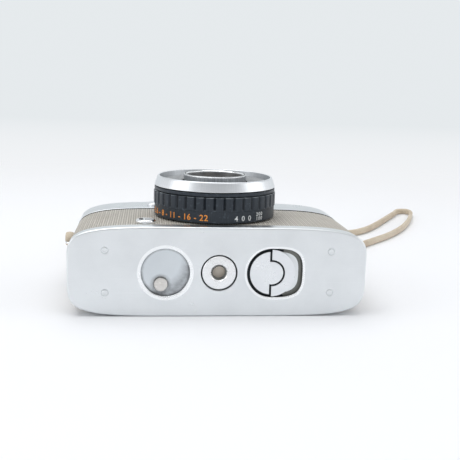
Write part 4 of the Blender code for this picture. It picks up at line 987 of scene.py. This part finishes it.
def lettering(name, text, size, start, z, material, body, spacing=1.0):
    """Generic figures laid round the ring; start is the angle from -Y in degrees."""
    mesh = text_mesh(name, text, size, 0.03, 3, space_character=spacing, offset=0.04 * MM)
    radius = 26.0 * MM
    for v in mesh.vertices:
        angle = math.radians(start) + v.co.x / radius
        r = radius + v.co.z + 0.01 * MM
        v.co = (LENS_XY[0] + r * math.sin(angle), LENS_Y - r * math.cos(angle), z * MM + v.co.y)
    dress(bpy.data.objects.new(name, mesh), material, body, (), 40)


make_knurled_ring()
lettering("aperture_figures", "2.8 - 4 - 5.6 - 8 - 11 - 16 - 22", 3.5, -110, RING_Z + 1.0,
          ORANGE, "exposure_ring", 1.08)
lettering("speed_figures", "4 0 0", 3.0, 14, RING_Z + 0.9, IVORY, "exposure_ring", 1.25)
lettering("speed_figures_small", "200", 2.1, 37, RING_Z + 2.5, IVORY, "exposure_ring", 1.3)
lettering("speed_figures_lower", "100", 2.1, 37, RING_Z + 0.7, IVORY, "exposure_ring", 1.3)

lathe("barrel_collar", [(20.4, COLLAR_TOP), (20.4, 37.1), (23.0, 37.1), (23.0, COLLAR_Z),
                        (25.7, COLLAR_Z), (26.0, COLLAR_Z + 0.25), (26.0, COLLAR_TOP - 0.2),
                        (25.85, COLLAR_TOP)], ANODISED, "camera_body", ["barrel_tube"],
      steps=160)
lathe("bezel", [(14.54, BEZEL_Z), (25.9, BEZEL_Z), (26.1, BEZEL_Z + 0.2),
                (24.85, BEZEL_TOP - 0.4), (24.65, BEZEL_TOP - 0.08), (24.5, BEZEL_TOP),
                (24.05, BEZEL_TOP), (23.9, BEZEL_TOP - 0.15), (23.55, BEZEL_Z + 1.7),
                (22.65, BEZEL_Z + 1.5), (22.6, BEZEL_Z + 0.6), (14.54, BEZEL_Z + 0.6)],
      BRUSHED, "camera_body", ["front_bezel"], steps=192, soften=0.08)
# the bezel's inside is darker and duller than its brushed outside; the darker colour is painted
# shade
bezel = bpy.data.objects["bezel"]
bezel.data.materials.append(INNER_WALL_SHADE)
LIP_INNER, LIP_DEPTH = 24.0, 0.16
for face in bezel.data.polygons:
    away = math.hypot(face.center.x - LENS_XY[0], face.center.y - LENS_Y) / MM
    if away < LIP_INNER and face.center.z / MM < BEZEL_TOP - LIP_DEPTH:
        face.material_index = 1
nose_low = low("inner_ring").z / MM
lathe("inner_ring_shell", [(13.54, nose_low), (13.54, NOSE_TOP - 0.45), (13.4, NOSE_TOP - 0.08),
                           (13.15, NOSE_TOP), (12.6, NOSE_TOP), (12.34, NOSE_TOP - 0.3),
                           (12.34, NOSE_TOP - 0.9), (12.34, nose_low)], THREADED, "camera_body",
      ["inner_ring"], steps=128, soften=0.1)
rim = NOSE_TOP
lathe("inner_ring_rim", [(13.54, rim - 0.5), (13.5, rim - 0.2), (13.2, rim + 0.0),
                         (12.55, rim + 0.0), (12.1, rim - 0.35), (12.05, rim - 0.6),
                         (13.4, rim - 0.6)], BRIGHT, "camera_body", (),
      steps=128, soften=0.06)
# stepped black rings run down the inside to the glass
steps_in = [(12.33, rim - 0.9)]
radius, height = 12.33, rim - 0.9
for k in range(7):
    steps_in += [(radius - 0.55, height), (radius - 0.62, height - 0.62)]
    radius, height = radius - 0.62, height - 0.62
steps_in += [(6.9, nose_low + 1.6), (6.8, nose_low)]
lathe("lens_well", steps_in, WELL, "camera_body", (), steps=96, soften=0.05,
      loop=False)
glass_top = high("front_lens").z / MM
dome = [(0.0, glass_top)]
for k in range(1, 13):
    r = 6.5 * k / 12
    dome.append((r, glass_top - 1.1 * (r / 6.5) ** 2))
dome += [(6.5, glass_top - 2.5), (0, glass_top - 2.5)]
lathe("lens_front_glass", dome, LENS_GLASS, "camera_body", ["front_lens"], steps=64,
      soften=0.0, loop=False)


def make_cell_window():
    """The light cell's clear cover, moulded with rows of small round lenses."""
    base, top = low("cell_window").z / MM, high("cell_window").z / MM
    inner, outer = 14.1, 22.3
    rows, count = 44, 528
    row_pitch, lens_rows, lens_height = 1.32, 6, 0.32
    rings = [ring_z(inner * MM, base * MM, count), ring_z(outer * MM, base * MM, count)]
    for j in range(rows + 1):
        r = outer + (inner - outer) * j / rows
        ring = []
        for k in range(count):
            a = 2 * math.pi * k / count
            row = (r - inner - 0.3) / row_pitch
            band_index = math.floor(row)
            mid = inner + 0.3 + (band_index + 0.5) * row_pitch
            lenses = round(2 * math.pi * mid / row_pitch)
            turn = a / (2 * math.pi) * lenses + 0.5 * (band_index % 2)
            u = (turn - math.floor(turn) - 0.5) * 2
            v = (row - band_index - 0.5) * 2
            away = math.hypot(u, v)
            inside = 0 <= band_index < lens_rows
            lift = math.sqrt(max(0.0, 1 - (away / 0.98) ** 2)) if inside else 0.0
            z = top - lens_height + lens_height * lift
            ring.append((LENS_XY[0] + r * MM * math.cos(a), LENS_Y + r * MM * math.sin(a), z * MM))
        rings.append(ring)
    verts, faces = loft(rings, loop=True)
    make("cell_cover", verts, faces, WINDOW, "camera_body", ["cell_window"], 30)


make_cell_window()


# ---------------------------------------------------------------- front fittings

def slab(name, points, z0, z1, material, body, replaces, edge):
    verts, faces = loft([[(x, y, z0) for x, y in points], [(x, y, z1) for x, y in points]],
                        True, True)
    obj = make(name, verts, faces, material)
    soften_edges(obj, edge, 2, 40)
    return weighted(dress(obj, material, body, replaces))


sync = middle("sync_terminal")
SYNC_TOP = high("sync_terminal").z / MM
seat_z = FRONT_Z / MM - 0.3
lathe("sync_cap", [(0, SYNC_TOP - 0.25), (3.4, SYNC_TOP - 0.25), (3.95, SYNC_TOP - 0.5),
                   (4.1, SYNC_TOP - 0.9), (4.1, seat_z), (0, seat_z)], BRIGHT, "camera_body",
      ["sync_terminal"], "Z", (sync.x, sync.y), 72, 0.12, loop=False)
lathe("sync_pin", [(0, SYNC_TOP), (0.75, SYNC_TOP), (0.95, SYNC_TOP - 0.15),
                   (0.95, SYNC_TOP - 0.6), (0, SYNC_TOP - 0.6)], BLACK, "camera_body",
      ["sync_contact"], "Z", (sync.x - 1.9 * MM, sync.y), 32, 0.06, loop=False)
# a black insert fills the slot: painted shade
slab("sync_slot_shade", round_box(sync.x - 0.4 * MM, sync.x + 2.9 * MM, sync.y - 0.2 * MM,
                            sync.y + 0.2 * MM, 0.15 * MM, 3), (SYNC_TOP - 0.6) * MM,
     (SYNC_TOP - 0.12) * MM, BLACK, "camera_body", (), 0.05 * MM)
cap = middle("front_cap")
CAP_TOP = high("front_cap").z / MM
lathe("front_screw_cap", [(0, CAP_TOP), (2.0, CAP_TOP - 0.02), (3.2, CAP_TOP - 0.12),
                          (3.8, CAP_TOP - 0.4), (4.0, CAP_TOP - 0.9), (4.0, seat_z),
                          (0, seat_z)], KEY_METAL, "camera_body", ["front_cap"],
      "Z", (cap.x, cap.y), 64, 0.3, loop=False)


# ---------------------------------------------------------------- viewfinder

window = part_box("viewfinder_window")
slab("finder_pane", round_box(window[0].x, window[1].x, window[0].y, window[1].y, 0.45 * MM),
     window[0].z, window[1].z - 0.2 * MM, FINDER, "camera_body", ["viewfinder_window"],
     0.08 * MM)
bezel_out = round_box(window[0].x - 0.25 * MM, window[1].x + 0.25 * MM, window[0].y - 0.25 * MM,
                      window[1].y + 0.25 * MM, 0.6 * MM)
bezel_in = round_box(window[0].x + 0.55 * MM, window[1].x - 0.55 * MM, window[0].y + 0.5 * MM,
                     window[1].y - 0.5 * MM, 0.4 * MM)
z0, z1 = window[1].z - 0.25 * MM, window[1].z + 0.1 * MM
verts, faces = loft([[(x, y, z0) for x, y in bezel_out], [(x, y, z1) for x, y in bezel_out],
                     [(x, y, z1) for x, y in bezel_in], [(x, y, z0) for x, y in bezel_in]],
                    loop=True)
make("finder_frame", verts, faces, BLACK, "camera_body", (), 30)
eye = middle("eyepiece_window")
lathe("eyepiece_glass", [(0, 0.45), (1.9, 0.4), (2.05, 0.25), (2.55, 0.16), (2.6, 0.3), (2.6, 1.1),
                         (0, 1.1)], FINDER, "camera_body", ["eyepiece_window"], "Z",
      (eye.x, eye.y), 48, 0.08, loop=False)


# ---------------------------------------------------------------- top fittings

def dial(name, centre, y0, y1, radius, ribs, depth, material, body, replaces, bore=0.0,
         chamfer=0.35 * MM):
    """A knurled disc along Y with chamfered edges, with a flat middle or a bore."""
    per_rib = 8
    count = ribs * per_rib
    profile = [(y0, radius - chamfer, 0.2), (y0 + chamfer * 0.4, radius - chamfer * 0.2, 0.9),
               (y0 + chamfer, radius, 1.0), (y1 - chamfer, radius, 1.0),
               (y1 - chamfer * 0.4, radius - chamfer * 0.2, 0.9), (y1, radius - chamfer, 0.2)]
    inner = max(bore, 0.3 * MM)
    profile = [(y0, inner, 0.0), (y0, radius - 2.4 * chamfer, 0.0), *profile,
               (y1, radius - 2.4 * chamfer, 0.0), (y1, inner, 0.0)]
    rings = []
    for y, r, share in profile:
        ring = []
        for k in range(count):
            phase = (k % per_rib) / per_rib - 0.5
            groove = max(0.0, 1 - (abs(phase) / 0.3) ** 2)
            a = 2 * math.pi * k / count
            here = r - depth * groove * share
            ring.append((centre[0] + here * math.cos(a), y, centre[1] + here * math.sin(a)))
        rings.append(ring)
    verts, faces = loft(rings, loop=bore > 0, cap_start=bore == 0, cap_end=bore == 0)
    return make(name, verts, faces, material, body, replaces, 38)


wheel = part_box("advance_wheel")
TAKE_UP = (middle("advance_wheel").x, middle("advance_wheel").z)
dial("thumb_wheel", TAKE_UP, wheel[0].y, wheel[1].y, 15.0 * MM, 72, 0.4 * MM, BLACK,
     "film_advance", ["advance_wheel"])

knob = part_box("rewind_knob")
rewind = dial("rewind_grip", REWIND, knob[0].y, knob[1].y, 9.6 * MM, 60, 0.28 * MM, BRIGHT,
              None, ())
crank_pin = REWIND[0] - 6.0 * MM
carve(rewind, prism(circle(crank_pin, REWIND[1], 2.6 * MM), knob[1].y - 2.0 * MM,
                    knob[1].y + MM))
weighted(dress(rewind, BRIGHT, "rewind", ["rewind_knob"], 38))
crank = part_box("rewind_crank")
half = 2.0 * MM
points = []
for k in range(25):
    a = math.radians(90 + 180 * k / 24)
    points.append((crank_pin + half * math.cos(a), REWIND[1] + half * math.sin(a)))
for k in range(13):
    a = math.radians(-90 + 180 * k / 12)
    points.append((crank[1].x - 1.6 * MM + 1.6 * MM * math.cos(a), REWIND[1] + half * math.sin(a)))
solid_plate("crank_arm", points, crank[0].y, crank[1].y, BRIGHT, "rewind_crank",
            ["rewind_crank"], 0.18 * MM)
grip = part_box("crank_knob")
y0, y1 = grip[0].y / MM, grip[1].y / MM
lathe("crank_grip", [(0, y0), (1.5, y0), (1.8, y0 + 0.3), (1.55, (y0 + y1) / 2), (1.8, y1 - 0.2),
                     (1.6, y1), (0, y1)], BRIGHT, "crank_knob", ["crank_knob"],
      "Y", (crank_pin, REWIND[1]), 40, 0.1, loop=False)

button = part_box("shutter_button")
y0, y1 = button[0].y / MM, button[1].y / MM
lathe("release_button", [(0, y1 - 1.2), (0.8, y1 - 1.2), (1.0, y1 - 1.0), (1.0, y1 - 0.45),
                         (1.35, y1 - 0.12), (2.9, y1), (3.45, y1 - 0.3), (3.6, y1 - 0.8),
                         (3.6, 31.5), (2.0, 31.5), (2.0, y0), (0, y0)], BRIGHT, "shutter_button",
      ["shutter_button"], "Y", BUTTON, 72, 0.12, loop=False)
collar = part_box("release_collar")
y0, y1 = collar[0].y / MM, collar[1].y / MM
lathe("release_guard", [(3.9, y0), (6.2, y0), (6.1, y0 + 0.25), (5.5, y1 - 0.15), (5.1, y1),
                        (4.4, y1), (3.95, y1 - 0.25)], BRIGHT, "camera_body", ["release_collar"],
      "Y", BUTTON, 80, 0.12)

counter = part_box("counter_window")
y0, y1 = counter[0].y / MM, counter[1].y / MM

lathe("counter_glass", [(0, y1), (2.4, y1 - 0.03), (4.3, y1 - 0.16), (4.9, y1 - 0.4), (4.9, y0),
                        (0, y0)], CLEAR, "camera_body", ["counter_window"], "Y",
      TAKE_UP, 72, 0.1, loop=False)
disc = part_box("counter_dial")
y1 = disc[1].y / MM
lathe("counter_disc", [(0, y1), (6.35, y1), (6.5, y1 - 0.15), (6.5, y1 - 0.8), (1.2, y1 - 0.8),
                       (1.2, disc[0].y / MM), (0, disc[0].y / MM)], WHITE, "counter_dial",
      ["counter_dial"], "Y", TAKE_UP, 72, 0.08, loop=False)


def counter_marks():
    """Frame numbers every ten and a tick for each two frames, on top of the disc."""
    verts, faces = [], []
    top = y1 * MM + 0.015 * MM
    for k in range(36):
        a = 2 * math.pi * k / 36
        long = k % 5 == 0
        r0, r1, w = (3.5 if long else 3.9), 4.55, (0.13 if long else 0.07)
        along = Vector((math.cos(a), math.sin(a)))
        side = Vector((-along.y, along.x))
        start = len(verts)
        for r, s in ((r0, -w), (r0, w), (r1, w), (r1, -w)):
            p = Vector(TAKE_UP) + along * r * MM + side * s * MM
            verts.append((p.x, top, p.y))
        for v in verts[start:start + 4]:
            verts.append((v[0], top - 0.02 * MM, v[2]))
        b = start
        faces += [(b, b + 1, b + 2, b + 3), (b + 7, b + 6, b + 5, b + 4)]
        faces += [(b + i, b + 4 + i, b + 4 + (i + 1) % 4, b + (i + 1) % 4) for i in range(4)]
    make("counter_marks", verts, faces, INK, "counter_dial", (), 30)
    for index, value in enumerate((0, 20, 40, 60)):
        mesh = text_mesh("figure", str(value), 1.9, 0.01, 2, align_x="CENTER")
        a = math.pi / 2 * index
        # text X and Y go to the disc's tangent and outward directions, seen from +Y
        outward = Vector((math.cos(a), 0, math.sin(a)))
        tangent = outward.cross(Vector((0, 1, 0)))
        for v in mesh.vertices:
            v.co = (Vector((TAKE_UP[0], top + v.co.z, TAKE_UP[1])) + tangent * v.co.x
                    + outward * (v.co.y + 1.75 * MM))
        dress(bpy.data.objects.new("counter_figure_%d" % value, mesh), INK, "counter_dial", (),
              40)


counter_marks()


# ---------------------------------------------------------------- strap

STRAP_ROUTE = [
    (63.4, 22.4, 20.0), (63.6, 30.0, 19.3), (65.2, 42.0, 16.0), (69.5, 56.0, 10.5),
    (76.5, 70.0, 5.2), (86.0, 86.0, 2.6), (97.5, 101.0, 2.2), (108.5, 113.5, 2.2),
    (119.0, 125.5, 2.2), (129.0, 139.0, 2.2), (138.5, 154.0, 2.2), (147.0, 170.0, 2.2),
    (154.5, 186.0, 2.2), (161.0, 202.0, 2.2), (165.5, 214.5, 2.2), (165.0, 223.5, 2.2),
    (158.0, 222.5, 2.2), (151.0, 210.5, 2.2), (142.0, 195.0, 2.2), (132.5, 179.0, 2.2),
    (122.5, 162.5, 2.2), (112.0, 147.5, 2.2), (100.0, 136.5, 2.2), (84.0, 131.5, 2.2),
    (64.0, 132.0, 2.2), (38.0, 139.0, 2.2), (10.0, 146.0, 2.2), (-20.0, 144.0, 2.2),
    (-44.0, 130.0, 2.2), (-58.0, 108.0, 2.6), (-64.0, 84.0, 5.0), (-65.0, 62.0, 10.0),
    (-64.4, 44.0, 15.8), (-63.6, 31.0, 19.2), (-63.4, 22.4, 20.0)]
STRAP_WIDTH, STRAP_THICK = 4.0 * MM, 2.7 * MM


def smooth_route(route, count):
    """Evenly spaced points on a Catmull-Rom curve through the route."""
    ends = [route[0]] + list(route) + [route[-1]]
    fine = []
    for a, b, c, d in zip(ends, ends[1:], ends[2:], ends[3:]):
        for k in range(12):
            t = k / 12
            fine.append([0.5 * (2 * q + (r - p) * t + (2 * p - 5 * q + 4 * r - s) * t * t
                                + (3 * q - p - 3 * r + s) * t ** 3)
                         for p, q, r, s in zip(a, b, c, d)])
    fine.append(list(route[-1]))
    lengths = run_lengths(fine)
    points = []
    index = 0
    for k in range(count):
        target = lengths[-1] * k / (count - 1)
        while index < len(lengths) - 2 and lengths[index + 1] < target:
            index += 1
        share = (target - lengths[index]) / (lengths[index + 1] - lengths[index])
        points.append([p + (q - p) * share for p, q in zip(fine[index], fine[index + 1])])
    return points


def make_strap():
    """A folded leather strap: an oval section standing on edge, with a sewn seam groove."""
    path = [Vector(p) * MM for p in smooth_route(STRAP_ROUTE, 400)]
    around = 20
    rings = []
    for k, p in enumerate(path):
        along = (path[min(k + 1, len(path) - 1)] - path[max(k - 1, 0)]).normalized()
        side = along.cross(Vector((0, 0, 1))).normalized()
        upright = side.cross(along).normalized()
        ring = []
        for j in range(around):
            a = 2 * math.pi * j / around
            c, s = math.cos(a), math.sin(a)
            u = math.copysign(abs(c) ** 0.75, c) * STRAP_THICK / 2
            v = math.copysign(abs(s) ** 0.75, s) * STRAP_WIDTH / 2
            seam = 0.12 * MM * math.exp(-((abs(s)) / 0.12) ** 2)
            u -= math.copysign(seam, c)
            ring.append(p + side * u + upright * v)
        rings.append(ring)
    verts, faces = loft(rings, True, True)
    strap = make("leather_strap", verts, faces, HIDE, "camera_body", ["strap"],
                 50)
    return strap, path, sum((a - b).length for a, b in zip(path, path[1:]))


def torus(major, minor, matrix, squash=1.0, around=48, across=16):
    """Points and faces of a ring in its own XY plane, moved by matrix."""
    rings = []
    for k in range(around):
        a = 2 * math.pi * k / around
        ring = []
        for j in range(across):
            b = 2 * math.pi * j / across
            r = major + minor * math.cos(b)
            ring.append(matrix @ Vector((r * math.cos(a), r * math.sin(a),
                                         minor * squash * math.sin(b))))
        rings.append(ring)
    return loft(rings, loop=True)


strap, strap_path, strap_length = make_strap()
EYE_X, EYE_Y, EYE_Z = 63.5, 17, 20
LOOP_PLACE = Vector((64.4, 19.8, 21.0)) * MM
for side, word in ((-1, "right"), (1, "left")):
    turn = Matrix.Rotation(math.pi / 2, 4, "Y")
    place = Matrix.Translation((side * LOOP_PLACE.x, LOOP_PLACE.y, LOOP_PLACE.z))
    verts, faces = torus(2.5 * MM, 0.8 * MM, place @ turn, 2.3)
    make("strap_loop_" + word, verts, faces, HIDE, "camera_body",
                      ["strap_end_" + word], 60)
    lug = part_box("strap_lug_" + word)
    face_x = (lug[0].x if side > 0 else lug[1].x) / MM
    verts, faces = torus(2.2 * MM, 0.55 * MM, Matrix.Translation(
        (side * EYE_X * MM, EYE_Y * MM, EYE_Z * MM)))
    base = []
    for r, x in ((0.2, 0.0), (2.6, 0.0), (2.6, 0.3), (2.35, 0.55), (1.6, 0.6), (0.2, 0.6)):
        base.append([((face_x + side * x) * MM,
                      (EYE_Y + r * math.cos(2 * math.pi * k / 40)) * MM,
                      (EYE_Z + r * math.sin(2 * math.pi * k / 40)) * MM) for k in range(40)])
    more, more_faces = loft(base, True, True)
    offset = len(verts)
    verts = list(verts) + list(more)
    faces = faces + [tuple(i + offset for i in f) for f in more_faces]
    make("lug_" + word, verts, faces, BRIGHT, "camera_body", ["strap_lug_" + word],
         40)


# ---------------------------------------------------------------- carried-over frame nodes

CARRIED = (
    (CASTING, "body_casting"), (CELL, "light_cell"), (LENS_GLASS, "rear_lens"),
    (WHITE, "meter_needle"), (BRASS, "wheel_gear sprocket_gear"),
    (BLACK, "shutter_housing shutter_plate viewfinder_tube meter_movement take_up_spool "
            "pressure_plate"),
    (DULL, "lock_catch shutter_blade_a shutter_blade_b sprocket_shaft rewind_fork back_plate "
           "lock_cam"))
for material, names in CARRIED:
    for name in names.split():
        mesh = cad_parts[name].data
        mesh.materials.clear()
        mesh.materials.append(material)


def make_plate_spring():
    """The leaf behind the pressure plate, built in its bowed shape."""
    box_low, box_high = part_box("pressure_spring")
    half, sheet = box_high.x, 0.3 * MM
    rise = box_high.z - box_low.z - sheet
    rings = []
    for k in range(33):
        x = half * (k / 16 - 1)
        z = box_low.z + rise * (1 - (x / half) ** 2)
        mid, width = (box_low.y + box_high.y) / 2, (box_high.y - box_low.y) / 2
        width *= 1 - 0.25 * abs(k / 16 - 1) ** 6
        rings.append([(x, mid - width, z), (x, mid + width, z), (x, mid + width, z + sheet),
                      (x, mid - width, z + sheet)])
    verts, faces = loft(rings, True, True)
    leaf = make("plate_spring", verts, faces, DULL)
    soften_edges(leaf, 0.05 * MM, 2, 60)
    dress(leaf, DULL, "rear_cover", ["pressure_spring"], 40)
    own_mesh(leaf)


make_plate_spring()


# ---------------------------------------------------------------- stage and light

HORIZON = (0.925, 0.933, 0.952)


def backdrop():
    """A pale sweep: floor under the object, plain background colour further out."""
    n = Nodes("pale_sweep")
    away = n.add("VectorMath", {0: n.place, 1: (0.0, 0.04, 0.0)}, operation="DISTANCE")
    distance = away.outputs["Value"]
    rise = n.parts()[1]
    rays = n.add("LightPath").outputs
    seen = n.math("MAXIMUM", rays["Is Camera Ray"],
                  n.math("MAXIMUM", rays["Is Glossy Ray"], rays["Is Transmission Ray"]))
    tone = n.blend(n.span(rise, 0.1, 1.6), HORIZON, (0.79, 0.825, 0.845))
    glow = n.add("Emission", {"Color": tone, "Strength": 1.0}).outputs[0]
    n.surface(n.blend(n.span(n.noise(3, detail=2), 0.3, 0.7, 0.0, 0.3), (0.88, 0.885, 0.90),
                      (0.86, 0.865, 0.88)), 0.7, None, 0.0, Specular_IOR_Level=0.2)
    far = n.math("MULTIPLY", seen, n.span(distance, 0.2, 0.52))
    mix = n.add("MixShader", {0: far, 1: n.shader.outputs[0], 2: glow})
    output = n.tree.nodes["Material Output"]
    n.tree.links.new(mix.outputs[0], output.inputs["Surface"])
    return n.material


FLOOR_HALF, FLOOR_FAR, FLOOR_NEAR = 3.0, 2.2, 2.5
FLOOR_DROP, SWEEP = 0.05 * MM, 0.8
verts, faces = [], []
rows = [(-FLOOR_NEAR, 0.0)] + [(FLOOR_FAR * k / 12 - 0.2, 0.0) for k in range(13)]
for k in range(1, 13):
    a = math.pi / 2 * k / 12
    rows.append((FLOOR_FAR - 0.2 + SWEEP * math.sin(a), SWEEP * (1 - math.cos(a))))
rows.append((rows[-1][0], 3.0))
for y, z in rows:
    verts += [(-FLOOR_HALF, y, z - FLOOR_DROP), (FLOOR_HALF, y, z - FLOOR_DROP)]
for k in range(len(rows) - 1):
    faces.append((2 * k, 2 * k + 1, 2 * k + 3, 2 * k + 2))
floor = make("floor", verts, faces, backdrop(), sharp=80)


def area_light(name, place, target, size, power, colour=(1, 1, 1)):
    data = bpy.data.lights.new(name, "AREA")
    data.shape = "RECTANGLE"
    data.size, data.size_y = size
    data.energy = power
    data.color = colour
    lamp = bpy.data.objects.new(name, data)
    bpy.context.scene.collection.objects.link(lamp)
    lamp.location = place
    lamp.rotation_euler = (Vector(target) - Vector(place)).to_track_quat("-Z", "Y").to_euler()


TOP_POWER, SIDE_POWER, FRONT_POWER_W = 6.3, 2.45, 6.1
area_light("top_soft", (-0.2, 0.25, 1.2), (0, 0.02, 0), (1.3, 0.9), TOP_POWER,
           (0.98, 0.99, 1.0))
area_light("left_soft", (-1.2, -0.3, 0.6), (0, 0, 0.03), (0.9, 0.8), SIDE_POWER)
area_light("right_soft", (1.2, -0.2, 0.6), (0, 0, 0.03), (0.9, 0.8), SIDE_POWER)
area_light("front_soft", (-0.1, -0.6, 1.45), (0, -0.1, 0), (2.2, 0.8), FRONT_POWER_W)


def studio_world():
    """Pale surroundings: brightest at the horizon, a little darker high on the near side."""
    world = bpy.data.worlds.new("studio")
    world.use_nodes = True
    tree = world.node_tree
    place = tree.nodes.new("ShaderNodeTexCoord").outputs["Generated"]

    def faded(direction, low, high, inner, outer):
        """Colour from inner to outer as the view turns towards a direction."""
        near = tree.nodes.new("ShaderNodeVectorMath")
        near.operation = "DOT_PRODUCT"
        tree.links.new(place, near.inputs[0])
        near.inputs[1].default_value = direction
        share = tree.nodes.new("ShaderNodeMapRange")
        share.interpolation_type = "SMOOTHSTEP"
        share.inputs["From Min"].default_value = low
        share.inputs["From Max"].default_value = high
        tree.links.new(near.outputs["Value"], share.inputs["Value"])
        mix = tree.nodes.new("ShaderNodeMix")
        mix.data_type = "RGBA"
        tree.links.new(share.outputs[0], mix.inputs[0])
        for socket, colour in ((mix.inputs[6], inner), (mix.inputs[7], outer)):
            if isinstance(colour, tuple):
                socket.default_value = colour
            else:
                tree.links.new(colour, socket)
        return mix.outputs[2]

    high = faded((0.0, -0.7, 0.71), 0.62, 0.99, (0.58, 0.595, 0.61, 1), (0.40, 0.41, 0.42, 1))
    sky = faded((0.0, 0.0, 1.0), 0.12, 0.45, (*HORIZON, 1), high)
    background = tree.nodes["Background"]
    tree.links.new(sky, background.inputs[0])
    background.inputs[1].default_value = 1.0
    bpy.context.scene.world = world


studio_world()
